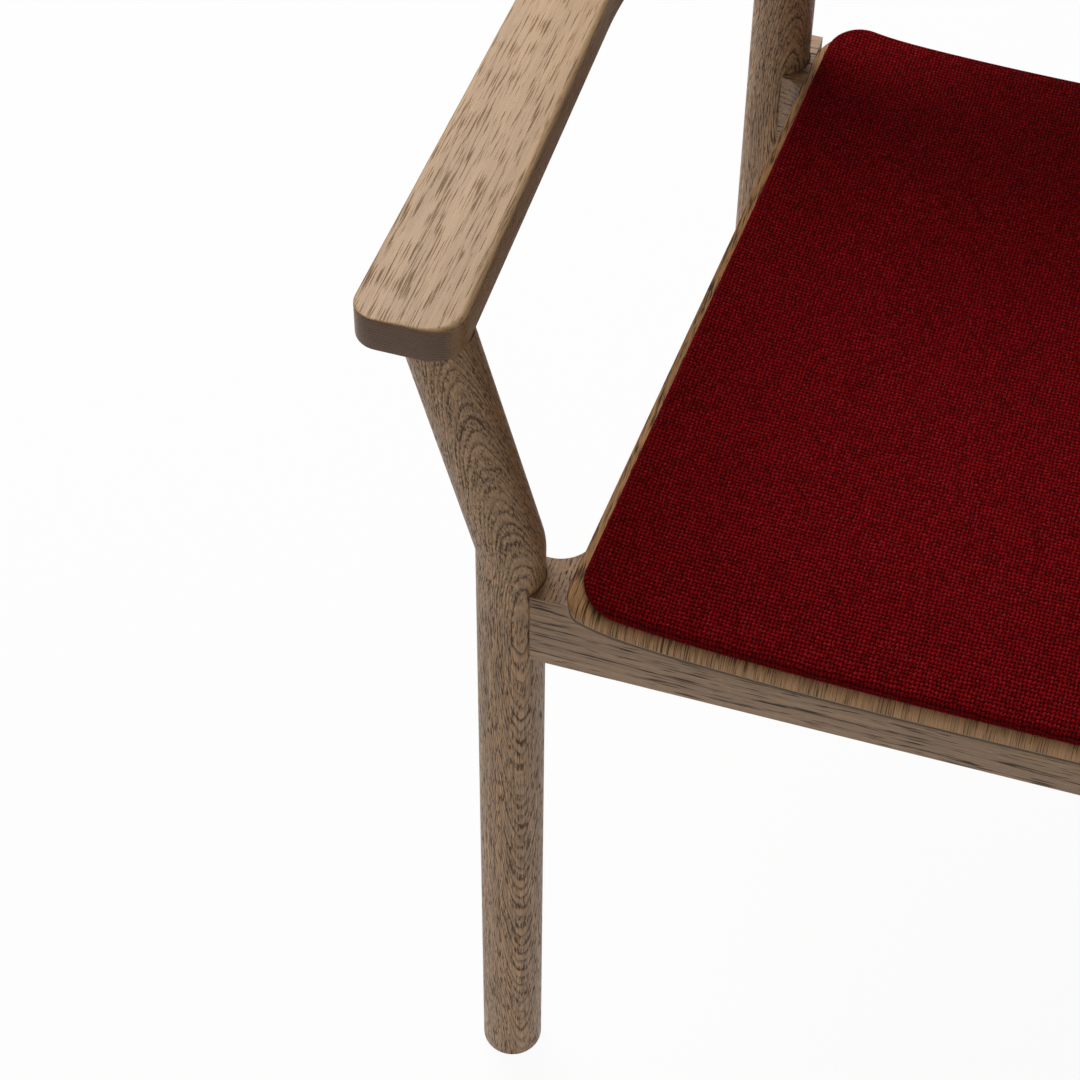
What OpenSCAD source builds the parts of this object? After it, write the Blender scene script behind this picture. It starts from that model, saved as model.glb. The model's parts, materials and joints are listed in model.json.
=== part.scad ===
// Upholstered armchair: round oak legs, flat horseshoe arms, form-pressed seat and back shells.
// Millimetres, +Z up, the sitter faces -Y. The origin is on the floor under the middle of the chair.
// Places from front to back are depths d, measured back from the front leg axes.

/* [Legs] */
// Distance between the two front leg axes at the floor
front_spread = 500; // [480:1:520]
// Distance between the two rear leg axes
rear_spread = 433.6; // [420:0.2:445]
// Distance from the front leg axes back to the rear ones
leg_depth = 417; // [400:1:430]
// Diameter of the legs
leg_d = 35; // [32:0.5:38]
// Height at which a front leg turns outwards
bend_z = 473; // [468:1:490]
// Angle that a front leg leans outwards above its bend
splay = 14.2; // [8:0.1:18]
// Radius of the bend, along the middle of the leg
bend_r = 34; // [28:1:60]
// Rounding of a foot's lower edge
foot_round = 2.5; // [1:0.5:4]

/* [Arms and bow] */
// Height of the underside of the arms
arm_z = 613; // [590:1:640]
// Thickness of the arms and the bow
arm_t = 20; // [18:0.5:26]
// Width of an arm at its front end
arm_w = 53; // [48:0.5:60]
// Width of the bow, all round its curve
bow_w = 44; // [40:0.5:46]
// Arm's inner edge, outside the inner side of the leg's top
arm_inset = 0.5; // [0:0.1:3]
// How far the arms reach ahead of the front leg axes
arm_reach = 22; // [19:0.5:40]
// Depth at which the arms turn into the bow's curve
bow_depth = 220; // [205:1:235]
// Angle from the side to the joint between arm and bow
bow_joint = 62; // [57:1:65]
// Rounding of an arm's outer front corner, seen from above
arm_round_out = 13; // [6:1:20]
// Rounding of an arm's inner front corner, seen from above
arm_round_in = 17; // [6:1:22]
// Diameter of the round tenon on top of each leg
tenon_d = 18; // [14:1:20]
// Length of that tenon
tenon_l = 12; // [8:0.5:13]

/* [Seat frame] */
// Height of the seat frame's top edge
seat_z = 450; // [440:1:460]
// Height of all four rails
rail_h = 50; // [46:1:58]
// Front rail's face, ahead of the front leg axes
front_rail_ahead = 13; // [10:0.5:15]
// Thickness of the front rail
front_rail_t = 28; // [25:0.5:32]
// Rear rail's face, ahead of the rear leg axes
rear_rail_ahead = 18; // [17:0.5:20]
// Thickness of the rear rail
rear_rail_t = 41; // [36:0.5:44]
// Thickness of the side rails
side_rail_t = 22; // [19:0.5:26]
// Side rail's outer face, inside the shell's edge
side_rail_inset = 2; // [1:0.5:4]
// Radius of the hollow between the front rail and its corner
front_fillet = 18.5; // [14:0.5:20]
// Radius of the hollow between the rear rail and its corner
rear_fillet = 18; // [14:0.5:20]
// Length of a corner block along each rail
block_l = 45; // [40:1:52]

/* [Seat shell] */
// Shell's edge, inside the front leg axes
shell_in = 30.3; // [28:0.1:33]
// Angle at which the seat narrows towards the back, each side
taper = 3.2; // [2.6:0.1:3.6]
// Shell's back edge, behind the rear leg axes
shell_behind = 34; // [30:1:40]
// Thickness of the shell
shell_t = 8.5; // [7:0.5:10]
// Depth of the dish in the middle of the seat
dish = 11; // [8:0.5:13]
// Extra hollow under the sitter
hollow = 3.5; // [0:0.5:5]
// Drop of the dish at the front edge
lip_drop = 6.3; // [3:0.1:8]
// Length of the seat over which the lip drops
lip_run = 73; // [60:1:90]
// Run of the rolled front edge
roll_run = 8; // [5:0.5:10]
// Veneer edge left visible below the roll
edge_t = 2; // [1.5:0.1:3]
// Radius of the shell's rear corners, seen from above
back_corner_r = 29; // [22:1:34]
// Radius of the shell's front corners, seen from above
front_corner_r = 28; // [20:1:34]
// Radius of the shell's front corners, seen from the front
lens_r = 18; // [14:1:20]

/* [Upholstery] */
// Pad's side edge, inside the shell's edge
pad_inset = 5; // [4:0.5:10]
// Pad's front edge, behind the face of the front rail
pad_front_inset = 2; // [1:0.5:8]
// Pad's rear edge, inside the shell's back edge
pad_back_inset = 2; // [1:0.5:8]
// Thickness of the seat pad at its rim
pad_t = 9.5; // [8:0.5:14]
// Crown of the seat pad in the middle, above its rim
pad_crown = 1.5; // [0:0.5:4]
// Thickness of the board in the seat pad
board_t = 3; // [2.5:0.5:4]
// Thickness of the back pad at its rim
back_pad_t = 11; // [8:0.5:16]

/* [Back shell] */
// Thickness of the back shell
back_t = 8; // [7:0.5:10]
// Height of the back shell's lower edge
back_low = 562; // [545:1:575]
// Height of the back shell's upper edge
back_high = 750; // [735:1:780]
// Half the width of the back shell, seen from the front
back_half = 190; // [175:1:200]
// Radius of the back shell's corners
back_round = 48; // [35:1:60]
// Radius of the back shell's lengthwise curve
lumbar_r = 420; // [380:5:600]

/* [Joinery] */
// Diameter of the rail dowels at the legs
rail_dowel_d = 10; // [8:1:10]
// Length of those dowels
rail_dowel_l = 40; // [32:1:40]
// Diameter of the dowels in side rails and arms
small_dowel_d = 8; // [6:1:8]
// Length of those dowels
small_dowel_l = 30; // [24:1:32]
// Height of the lower dowels above a rail's underside
dowel_low = 12; // [9:0.5:14]
// Distance between a joint's two dowels
dowel_gap = 17; // [13:0.5:18]
// Diameter of the screws
screw_d = 4; // [3:0.5:4.5]
// Diameter of the screw heads
screw_head_d = 8; // [6:0.5:8.5]
// Diameter of the glides under the feet
glide_d = 22; // [18:0.5:26]
// How far a glide stands proud of the foot
glide_proud = 1; // [0.6:0.1:2]
// Clearance between fitted surfaces
gap = 0.25; // [0.15:0.05:0.3]
// Clearance round dowels, tenons and screws
peg_gap = 0.1; // [0.05:0.05:0.2]

/* [Hidden] */

$fn = 64;
leg_r = leg_d / 2;
front_x = front_spread / 2;
rear_x = rear_spread / 2;
rail_z = seat_z - rail_h;

// Overlap of shapes that are joined or cut, and a length that outruns the whole chair
over = 1;
big = 1000;
bow_fn = 180;
lumbar_fn = 360;

// The bend is made of short straight lengths; each is a hair slimmer than the one below it
bend_lengths = 4;
bend_slimmer = 0.02;
turn_z = bend_z - bend_r * tan(splay / 2);

// The leg's top: where its axis meets the underside of the arm
leg_top_x = front_x + (arm_z - bend_z) * tan(splay);

// Bow and arms, seen from above
bow_in_r = leg_top_x - leg_r / cos(splay) + arm_inset;
bow_out_r = bow_in_r + bow_w;
length = arm_reach + bow_depth + bow_out_r;
front_y = arm_reach - length / 2;
bow_y = front_y + bow_depth;
arm_front_y = front_y - arm_reach;
arm_corner = [bow_in_r + arm_w, arm_front_y];
corner_to_bow = norm(arm_corner - [0, bow_y]);
arm_line_angle = atan2(arm_front_y - bow_y, arm_corner.x) + acos(bow_out_r / corner_to_bow);
arm_mid_z = arm_z + arm_t / 2;
bow_dowel_out = 11;

// Rails
front_rail_d = -front_rail_ahead;
front_rail_back = front_rail_d + front_rail_t;
rear_rail_d = leg_depth - rear_rail_ahead;
knuckle = 2;
front_knuckle = front_rail_back + front_fillet + knuckle;
rear_knuckle = rear_rail_d - rear_fillet - knuckle;
rear_cope = 6;
low_dowel_z = rail_z + dowel_low;
high_dowel_z = low_dowel_z + dowel_gap;

// Seat shell, in depths from the front leg axes
shell_back = leg_depth + shell_behind;
front_corner_run = 15;
front_turn = front_corner_run - front_rail_ahead;
lens_run = 38;
thin_edge = 0.8;

// The dish rises towards the sides as a wide bowl and a steeper brim, each with its power
bowl_share = 0.6;
bowl_power = 2.6;
brim_power = 16;

// Space left open over the shell where the rails are cut, and how far the cut runs past it
bed_top = 20;
bed_past = 5;
bed_power = 8;

// Seat pad
pad_front = front_rail_d + pad_front_inset;
pad_back = shell_back - pad_back_inset;
pad_mid = (pad_front + pad_back) / 2;
pad_front_r = 20;
pad_back_r = 24;
board_inset = 12;

// A pad's rim: how far its foot and its rounding reach in, and the height of the foot's turn
rim_foot = 3;
rim_in = 9;
rim_turn = 1.2;

// Back shell: its profile is an arc that bulges towards the sitter at the height of the bow
lumbar_x = bow_in_r - gap + lumbar_r;
back_mid_z = (back_low + back_high) / 2;
back_pad_inset = 7;
back_sweep = 110;
back_spare = 10;

// Fasteners
head_l = 3;
block_screw_l = 30;
block_screw_in = 28;
block_screw_low = 8;
block_screw_rise = 12;
block_head_deep = 5;
shell_screw_in = 14;
shell_screw_deep = 6;
pad_screw_l = 8;
pad_screw_places = [[110, 110], [95, 320]];
back_screw_angles = [-24, -8, 8, 24];
back_screw_seat = 30;
back_screw_cover = 2;
back_screw_l = back_screw_seat + gap + back_t - back_screw_cover;
plug_l = 8;
glide_in = 2;
nail_d = 2.5;
nail_l = 16;

// Corner blocks stand clear of the rails by a glue line and have blunt ends
block_z = rail_z + rail_h / 5;
block_glue = 0.2;
block_tip = 4;

function clamp(v) = max(0, min(1, v));

// How much a rounded corner of radius r narrows a plan, e past the start of its rounding
function corner_loss(e, r) = e <= 0 ? 0 : r - sqrt(max(0, r * r - e * e));

// Half the seat's width at depth d, before its corners are rounded
function seat_half(d) = front_x - shell_in - d * tan(taper);

// Half the shell's width at depth d
function shell_half(d) = seat_half(d) - corner_loss(front_turn - d, front_corner_r)
    - corner_loss(d - (shell_back - back_corner_r), back_corner_r);

// Height of the shell's top along its middle
function mid_z(d) = let(
    run = d - front_rail_d,
    sat = clamp((run - lip_run) / (shell_back - front_rail_d - lip_run)),
    lip = clamp(1 - run / lip_run))
    seat_z - dish - hollow * pow(sin(180 * sat), 2) - lip_drop * pow(lip, 2);

// Height of the dished top before its front edge is rolled
function dish_z(x, d) = let(t = min(1, abs(x) / shell_half(d)), m = mid_z(d))
    m + (seat_z - m) * (bowl_share * pow(t, bowl_power) + (1 - bowl_share) * pow(t, brim_power));

// Height of the shell's underside, which turns up in an arc at the front corners
function under_z(x, d) = let(
    r = lens_r * clamp(1 - (d - front_rail_d) / lens_run),
    u = abs(x) - shell_half(d) + r,
    lens = r > 0 && u > 0 ? seat_z - sqrt(max(0, r * r - u * u)) : 0)
    min(dish_z(x, d) - thin_edge, max(dish_z(x, d) - shell_t, lens));

// Height of the shell's top
function top_z(x, d) = let(
    full = dish_z(x, d),
    drop = max(0, full - under_z(x, d) - edge_t),
    e = clamp((d - front_rail_d) / roll_run))
    full - drop * (1 - sqrt(1 - pow(1 - e, 2)));

// Depths and widths at which the shell's surface is measured, closer where it turns.
// The rear corners stop just short of a quarter turn, so that the last row keeps some width.
turn_steps = 5;
flat_steps = 15;
side_steps = 14;
back_quarter = 86.4;
shell_rows = concat(
    [for (i = [0 : turn_steps - 1]) front_rail_d + roll_run * (1 - cos(90 * i / turn_steps))],
    [for (i = [0 : flat_steps]) let(from = front_rail_d + roll_run, to = shell_back - back_corner_r)
        from + (to - from) * i / flat_steps],
    [for (i = [1 : turn_steps]) shell_back - back_corner_r * (1 - sin(back_quarter * i / turn_steps))]);
shell_cols = [for (i = [-side_steps : side_steps]) sin(90 * i / side_steps)];

function shell_grid(z_of) = [for (d = shell_rows) [for (t = shell_cols)
    let(x = t * shell_half(d)) [x, front_y + d, z_of(x, d)]]];

// A solid between two grids of points, one above the other
module slab(lower, upper) {
    cols = len(lower[0]);
    rows = len(lower);
    count = rows * cols;
    points = [for (grid = [lower, upper]) for (row = grid) each row];
    lo = function(i, j) i * cols + j;
    up = function(i, j) count + i * cols + j;
    polyhedron(points, [
        for (i = [0 : rows - 2], j = [0 : cols - 2])
            each [[lo(i, j), lo(i, j + 1), lo(i + 1, j + 1)],
                  [lo(i, j), lo(i + 1, j + 1), lo(i + 1, j)],
                  [up(i, j), up(i + 1, j + 1), up(i, j + 1)],
                  [up(i, j), up(i + 1, j), up(i + 1, j + 1)]],
        for (j = [0 : cols - 2])
            each [[lo(0, j), up(0, j), up(0, j + 1)], [lo(0, j), up(0, j + 1), lo(0, j + 1)],
                  [lo(rows - 1, j), up(rows - 1, j + 1), up(rows - 1, j)],
                  [lo(rows - 1, j), lo(rows - 1, j + 1), up(rows - 1, j + 1)]],
        for (i = [0 : rows - 2])
            each [[lo(i + 1, 0), up(i + 1, 0), up(i, 0)], [lo(i + 1, 0), up(i, 0), lo(i, 0)],
                  [lo(i + 1, cols - 1), up(i, cols - 1), up(i + 1, cols - 1)],
                  [lo(i + 1, cols - 1), lo(i, cols - 1), up(i, cols - 1)]]]);
}

// A solid skinned over closed loops of points, from the middle of one face to that of the other
module skin(first, loops, last) {
    n = len(loops[0]);
    end = len(loops) * n;
    points = concat([for (loop = loops) each loop], [first, last]);
    polyhedron(points, [
        for (k = [0 : n - 1]) let(next = (k + 1) % n)
            each [[end, k, next], [end + 1, end - n + next, end - n + k]],
        for (j = [0 : len(loops) - 2], k = [0 : n - 1])
            let(a = j * n + k, b = j * n + (k + 1) % n) each [[a, a + n, b + n], [a, b + n, b]]]);
}

function arc_points(c, r, from, steps) = [for (i = [0 : steps]) let(a = from + 90 * i / steps)
    c + r * [cos(a), sin(a)]];
function between(p, q, steps) = [for (i = [1 : steps - 1]) p + (q - p) * i / steps];

// A loop with four rounded corners, with points along its straight sides too
function rounded_loop(centres, radii) = let(
    arc_steps = 7,
    straight_steps = 6,
    arcs = [for (k = [0 : 3]) arc_points(centres[k], radii[k], -90 + 90 * k, arc_steps)])
    [for (k = [0 : 3]) each concat(
        arcs[k], between(arcs[k][arc_steps], arcs[(k + 1) % 4][0], straight_steps))];

// What the rails are cut out to: the seat shell with its clearance, and the space above it
module shell_bed() {
    rows = concat([front_rail_d - bed_past], shell_rows, [shell_back + bed_past]);
    bed_half = function(d) shell_half(max(front_rail_d, min(shell_back - back_corner_r, d)));
    grid = function(z_of) [for (d = rows) let(near = max(front_rail_d, min(shell_back, d)))
        [for (t = shell_cols)
            [t * bed_half(d) + sign(t) * gap * pow(abs(t), bed_power), front_y + d,
             z_of(t * shell_half(near) * 0.9999, near)]]];
    slab(grid(function(x, d) under_z(x, d) - gap), grid(function(x, d) seat_z + bed_top));
}

// Cuts the corner `p` of a plan to radius r; its two edges leave it in directions a and b
module corner_cut(p, a, b, r) {
    half = abs(b - a) / 2;
    mid = (a + b) / 2;
    run = r / tan(half);
    centre = p + r / sin(half) * [cos(mid), sin(mid)];
    out = -2 * over * [cos(mid), sin(mid)];
    difference() {
        polygon([centre, p + run * [cos(a), sin(a)], p + run * [cos(a), sin(a)] + out, p + out,
                 p + run * [cos(b), sin(b)] + out, p + run * [cos(b), sin(b)]]);
        translate(centre) circle(r);
    }
}

// Legs, standing on the origin

module foot_and_shaft(h) {
    difference() {
        translate([0, 0, glide_proud]) cylinder(r = leg_r, h = h - glide_proud);
        translate([0, 0, glide_proud]) rotate_extrude() translate([leg_r - foot_round, 0])
            difference() {
                square(foot_round + over);
                translate([0, foot_round]) circle(foot_round);
                translate([-foot_round, foot_round]) square([2 * foot_round, foot_round]);
            }
        cylinder(d = glide_d + 2 * gap, h = glide_proud + glide_in);
        cylinder(d = nail_d + 2 * peg_gap, h = glide_proud + nail_l + over);
    }
}

// Runs its children from the top of a leg that leans outwards by `splay`
module at_leaning_top() {
    translate([leg_top_x - front_x, 0, arm_z]) rotate([0, splay, 0]) children();
}

module rail_dowel_bores(d) {
    for (z = [low_dowel_z, high_dowel_z]) translate([0, 0, z]) rotate([0, -90, 0])
        cylinder(d = rail_dowel_d + 2 * peg_gap, h = d);
}

rail_dowel_in = rail_dowel_l / 2;

// Runs its children in the bend's own frame: its centre is the origin, turned outwards by `turn`
module at_bend(turn) {
    translate([bend_r, 0, turn_z]) rotate([0, turn, 0]) children();
}

// Keeps the children's part between the planes at two turns of the bend
module between_turns(from, to) {
    difference() {
        children();
        at_bend(from) translate([0, 0, -big / 2]) cube(big, center = true);
        at_bend(to) translate([0, 0, big / 2]) cube(big, center = true);
    }
}

module bend_length(i, h) {
    at_bend(i * splay / bend_lengths) translate([-bend_r, 0, -leg_r])
        cylinder(r = leg_r - i * bend_slimmer, h = leg_r + h);
}

module front_leg() {
    turn = splay / bend_lengths;
    difference() {
        union() {
            difference() {
                foot_and_shaft(turn_z + leg_r);
                at_bend(turn / 2) translate([0, 0, big / 2]) cube(big, center = true);
            }
            for (i = [1 : bend_lengths - 1])
                between_turns((i - 0.5) * turn, (i + 0.5) * turn) bend_length(i, leg_r);
            difference() {
                bend_length(bend_lengths, 2 * (arm_z - bend_z));
                at_bend(splay - turn / 2) translate([0, 0, -big / 2]) cube(big, center = true);
                translate([0, 0, arm_z + big / 2]) cube(big, center = true);
            }
            at_leaning_top() translate([0, 0, -leg_r]) cylinder(d = tenon_d, h = leg_r + tenon_l);
        }
        translate([-leg_r + rail_dowel_in + gap, 0, 0]) rail_dowel_bores(rail_dowel_in + leg_r);
    }
}

module rear_leg() {
    difference() {
        union() {
            foot_and_shaft(arm_z);
            translate([0, 0, arm_z - leg_r]) cylinder(d = tenon_d, h = leg_r + tenon_l);
        }
        translate([-leg_r + rail_dowel_in + gap, 0, 0]) rail_dowel_bores(rail_dowel_in + leg_r);
    }
}

module at_front_leg() {
    translate([front_x, front_y, 0]) children();
}

module at_rear_leg() {
    translate([rear_x, front_y + leg_depth, 0]) children();
}

// Rails, written for the right-hand half and mirrored

function side_x(d, in) = seat_half(d) - side_rail_inset - in;

module plan(points, z, h) {
    translate([0, 0, z]) linear_extrude(h) polygon([for (p = points) [p.x, front_y + p.y]]);
}

module front_half_blank() {
    plan([[0, front_rail_d], [front_x, front_rail_d], [front_x, front_rail_back], [0, front_rail_back]],
         rail_z, rail_h);
    plan([[side_x(front_rail_back, side_rail_t), front_rail_back - over],
          [side_x(front_rail_back, 0), front_rail_back - over],
          [side_x(front_knuckle, 0), front_knuckle],
          [side_x(front_knuckle, side_rail_t), front_knuckle]],
         rail_z, rail_h);
    turn_d = front_rail_back + front_fillet;
    turn = [side_x(turn_d, -front_fillet), front_y + turn_d];
    difference() {
        translate([turn.x - front_fillet - over, front_y + front_rail_back - over, rail_z])
            cube([front_fillet + over, front_fillet + over, rail_h]);
        translate([turn.x, turn.y, rail_z - over]) cylinder(r = front_fillet, h = rail_h + 2 * over);
    }
}

module rear_half_blank() {
    plan([[0, rear_rail_d], [rear_x - rear_cope, rear_rail_d],
          [rear_x - rear_cope, rear_rail_d + rear_rail_t], [0, rear_rail_d + rear_rail_t]], rail_z, rail_h);
    plan([[side_x(rear_rail_d, side_rail_t), rear_rail_d + over],
          [side_x(rear_rail_d, 0), rear_rail_d + over],
          [side_x(rear_knuckle, 0), rear_knuckle],
          [side_x(rear_knuckle, side_rail_t), rear_knuckle]],
         rail_z, rail_h);
    turn_d = rear_rail_d - rear_fillet;
    turn = [side_x(turn_d, -rear_fillet), front_y + turn_d];
    intersection() {
        difference() {
            translate([turn.x - rear_fillet - over, turn.y, rail_z])
                cube([rear_fillet + over, rear_fillet + over, rail_h]);
            translate([turn.x, turn.y, rail_z - over]) cylinder(r = rear_fillet, h = rail_h + 2 * over);
        }
        translate([0, front_y, rail_z]) cube([rear_x - rear_cope, big, rail_h]);
    }
}

module both() {
    children();
    mirror([1, 0, 0]) children();
}

// Dowel places: the leg end of a rail, and the knuckle end of a side rail

module at_side_joint(d) {
    for (z = [low_dowel_z, high_dowel_z])
        translate([side_x(d, side_rail_t / 2), front_y + d, z]) rotate([-90, 0, 0])
            translate([0, 0, -small_dowel_l / 2]) children();
}

module side_dowel_bore() {
    translate([0, 0, -gap]) cylinder(d = small_dowel_d + 2 * peg_gap, h = small_dowel_l + 2 * gap);
}

module at_leg_joint(x) {
    for (z = [low_dowel_z, high_dowel_z])
        translate([x - leg_r - rail_dowel_in, 0, z]) rotate([0, 90, 0]) children();
}

module leg_dowel_bore() {
    translate([0, 0, -gap]) cylinder(d = rail_dowel_d + 2 * peg_gap, h = rail_dowel_l + 2 * gap);
}

// Corner-block screws: one into each of the two rails that meet at a corner.
// Each starts in the block's long face and runs square to its rail.

low_screw_z = rail_z + block_screw_low;
high_screw_z = low_screw_z + block_screw_rise;
block_wall = block_l - block_screw_in - block_head_deep;

module at_front_block_screws() {
    translate([side_x(front_rail_back, side_rail_t) - block_screw_in,
               front_y + front_rail_back + block_wall, low_screw_z])
        rotate([90, 0, 0]) children();
    translate([side_x(front_rail_back + block_screw_in, side_rail_t + block_wall),
               front_y + front_rail_back + block_screw_in, high_screw_z])
        rotate([0, 90, 0]) children();
}

module at_rear_block_screws() {
    translate([side_x(rear_rail_d, side_rail_t) - block_screw_in,
               front_y + rear_rail_d - block_wall, low_screw_z])
        rotate([-90, 0, 0]) children();
    translate([side_x(rear_rail_d - block_screw_in, side_rail_t + block_wall),
               front_y + rear_rail_d - block_screw_in, high_screw_z])
        rotate([0, 90, 0]) children();
}

// A screw along +Z: its head lies below the origin, its shank above
module screw(l) {
    cylinder(d = screw_d, h = l);
    translate([0, 0, -head_l]) cylinder(d = screw_head_d, h = head_l);
}

module screw_hole(l, head_room) {
    cylinder(d = screw_d + 2 * peg_gap, h = l + gap);
    translate([0, 0, -head_room]) cylinder(d = screw_head_d + 2 * peg_gap, h = head_room);
}

// Shell screws stand in the corner blocks

function front_shell_screw() = [side_x(front_rail_back, side_rail_t) - shell_screw_in,
                                front_rail_back + shell_screw_in];
function rear_shell_screw() = [side_x(rear_rail_d, side_rail_t) - shell_screw_in,
                               rear_rail_d - shell_screw_in];

module at_shell_screw(p) {
    translate([p.x, front_y + p.y, block_z + head_l]) children();
}

function shell_screw_l(p) = under_z(p.x, p.y) + shell_screw_deep - block_z - head_l;

module seat_screw_holes() {
    for (p = [front_shell_screw(), rear_shell_screw()])
        both() at_shell_screw(p) screw_hole(shell_screw_l(p), rail_h);
}

// Pad screws stand in the shell and hold the pad's board

module at_pad_screws() {
    for (p = pad_screw_places)
        both() translate([p.x, front_y + p.y, under_z(p.x, p.y)]) children();
}

module front_rail() {
    color("#7d6a58") difference() {
        both() front_half_blank();
        shell_bed();
        both() {
            at_front_leg() cylinder(r = leg_r + gap, h = seat_z + bed_top);
            translate([0, front_y, 0]) at_leg_joint(front_x) leg_dowel_bore();
            at_side_joint(front_knuckle) side_dowel_bore();
            at_front_block_screws() screw_hole(block_screw_l, over);
        }
    }
}

module rear_rail() {
    color("#7d6a58") difference() {
        both() rear_half_blank();
        shell_bed();
        both() {
            at_rear_leg() cylinder(r = leg_r + gap, h = seat_z + bed_top);
            translate([0, front_y + leg_depth, 0]) at_leg_joint(rear_x) leg_dowel_bore();
            at_side_joint(rear_knuckle) side_dowel_bore();
            at_rear_block_screws() screw_hole(block_screw_l, over);
        }
    }
}

module side_rail() {
    color("#7d6a58") difference() {
        plan([[side_x(front_knuckle, side_rail_t), front_knuckle],
              [side_x(front_knuckle, 0), front_knuckle],
              [side_x(rear_knuckle, 0), rear_knuckle],
              [side_x(rear_knuckle, side_rail_t), rear_knuckle]],
             rail_z, rail_h);
        shell_bed();
        at_side_joint(front_knuckle) side_dowel_bore();
        at_side_joint(rear_knuckle) side_dowel_bore();
        at_front_block_screws() screw_hole(block_screw_l, over);
        at_rear_block_screws() screw_hole(block_screw_l, over);
    }
}

module corner_block(d, way) {
    far = d + way * block_l;
    near = d + way * block_glue;
    corner = side_x(d, side_rail_t + block_glue);
    color("#8b7560") difference() {
        plan([[corner - block_l, near], [corner, near], [side_x(far, side_rail_t + block_glue), far],
              [side_x(far, side_rail_t + block_tip), far], [corner - block_l, d + way * block_tip]],
             block_z, rail_h);
        shell_bed();
        if (way > 0) at_front_block_screws() screw_hole(block_screw_l, block_l);
        if (way < 0) at_rear_block_screws() screw_hole(block_screw_l, block_l);
        seat_screw_holes();
    }
}

module corner_block_front() {
    corner_block(front_rail_back, 1);
}

module corner_block_rear() {
    corner_block(rear_rail_d, -1);
}

// Seat shell and pad

module seat_shell() {
    color("#a77f57") difference() {
        slab(shell_grid(function(x, d) under_z(x, d)), shell_grid(function(x, d) top_z(x, d)));
        seat_screw_holes();
        at_pad_screws() screw_hole(pad_screw_l, shell_t);
    }
}

function pad_half(d) = seat_half(d) - pad_inset;

pad_loop = rounded_loop(
    [[pad_half(pad_front + pad_front_r) - pad_front_r, pad_front + pad_front_r],
     [pad_half(pad_back - pad_back_r) - pad_back_r, pad_back - pad_back_r],
     [-pad_half(pad_back - pad_back_r) + pad_back_r, pad_back - pad_back_r],
     [-pad_half(pad_front + pad_front_r) + pad_front_r, pad_front + pad_front_r]],
    [pad_front_r, pad_back_r, pad_back_r, pad_front_r]);

// A point of the pad: its outline drawn in by `inset`, shrunk to the share k and lifted h off the
// dish, so that the front of the pad lies over the shell's rolled edge
function pad_point(p, inset, k, h) = let(
    size = k * (1 - inset / ((pad_back - pad_front) / 2)),
    x = p.x * size, d = pad_mid + (p.y - pad_mid) * size)
    [x, front_y + d, dish_z(x, d) + gap + h];

module pad_solid(rings) {
    skin(pad_point([0, pad_mid], 0, 0, rings[0][2]),
         [for (r = rings) [for (p = pad_loop) pad_point(p, r[0], r[1], r[2])]],
         pad_point([0, pad_mid], 0, 0, rings[len(rings) - 1][2]));
}

// A pad's rounded rim, as [inset, share, height] rings from its foot to its top
function rim(t) = [[rim_foot, 1, 0], [rim_foot / 5, 1, rim_turn], [0, 1, 0.35 * t], [0.5, 1, 0.65 * t],
                   [rim_in / 5, 1, 0.85 * t], [rim_in / 2, 1, 0.96 * t], [rim_in, 1, t]];
inner_shares = [0.85, 0.65, 0.45, 0.22];
outward_shares = [for (i = [1 : len(inner_shares)]) inner_shares[len(inner_shares) - i]];

function crown_rings(t, crown) = [for (k = inner_shares) [rim_in, k, t + crown * (1 - pow(k, 2))]];

module pad_board() {
    color("#b59c76") difference() {
        pad_solid(concat([for (k = outward_shares) [board_inset, k, 0]],
                         [[board_inset, 1, 0], [board_inset, 1, board_t]],
                         [for (k = inner_shares) [board_inset, k, board_t]]));
        at_pad_screws() screw_hole(pad_screw_l, shell_t);
    }
}

module seat_pad() {
    under = board_t + gap;
    recess = board_inset - gap;
    color("#6e0512") pad_solid(concat(
        [for (k = outward_shares) [recess, k, under]],
        [[recess, 1, under], [recess, 1, 0]], rim(pad_t), crown_rings(pad_t, pad_crown)));
}

// Arms and bow

module horseshoe_plan() {
    tangent = [bow_out_r * cos(arm_line_angle), bow_y + bow_out_r * sin(arm_line_angle)];
    difference() {
        union() {
            translate([0, bow_y]) circle(bow_out_r, $fn = bow_fn);
            polygon([arm_corner, tangent, [-tangent.x, tangent.y], [-arm_corner.x, arm_corner.y]]);
        }
        translate([0, bow_y]) circle(bow_in_r, $fn = bow_fn);
        translate([-bow_in_r, bow_y - big]) square([2 * bow_in_r, big]);
    }
}

module arm_sector() {
    translate([0, bow_y]) polygon([[0, 0], big * [cos(bow_joint), sin(bow_joint)], [big, big], [big, -big],
                                   [0, -big]]);
}

module arm_plan() {
    difference() {
        intersection() {
            horseshoe_plan();
            arm_sector();
        }
        corner_cut(arm_corner, 180, 90 + arm_line_angle, arm_round_out);
        corner_cut([bow_in_r, arm_front_y], 0, 90, arm_round_in);
    }
}

module at_bow_joint() {
    for (r = [bow_in_r + bow_w / 2 - bow_dowel_out, bow_in_r + bow_w / 2 + bow_dowel_out])
        translate([0, bow_y, arm_mid_z]) rotate([0, 0, bow_joint]) translate([r, 0, 0]) rotate([-90, 0, 0])
            translate([0, 0, -small_dowel_l / 2]) children();
}

module tenon_bore() {
    translate([0, 0, -leg_r]) cylinder(d = tenon_d + 2 * peg_gap, h = leg_r + tenon_l + gap);
}

module arm() {
    color("#c2a27c") difference() {
        translate([0, 0, arm_z]) linear_extrude(arm_t) arm_plan();
        at_front_leg() at_leaning_top() tenon_bore();
        at_rear_leg() translate([0, 0, arm_z]) tenon_bore();
        at_bow_joint() side_dowel_bore();
    }
}

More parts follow.
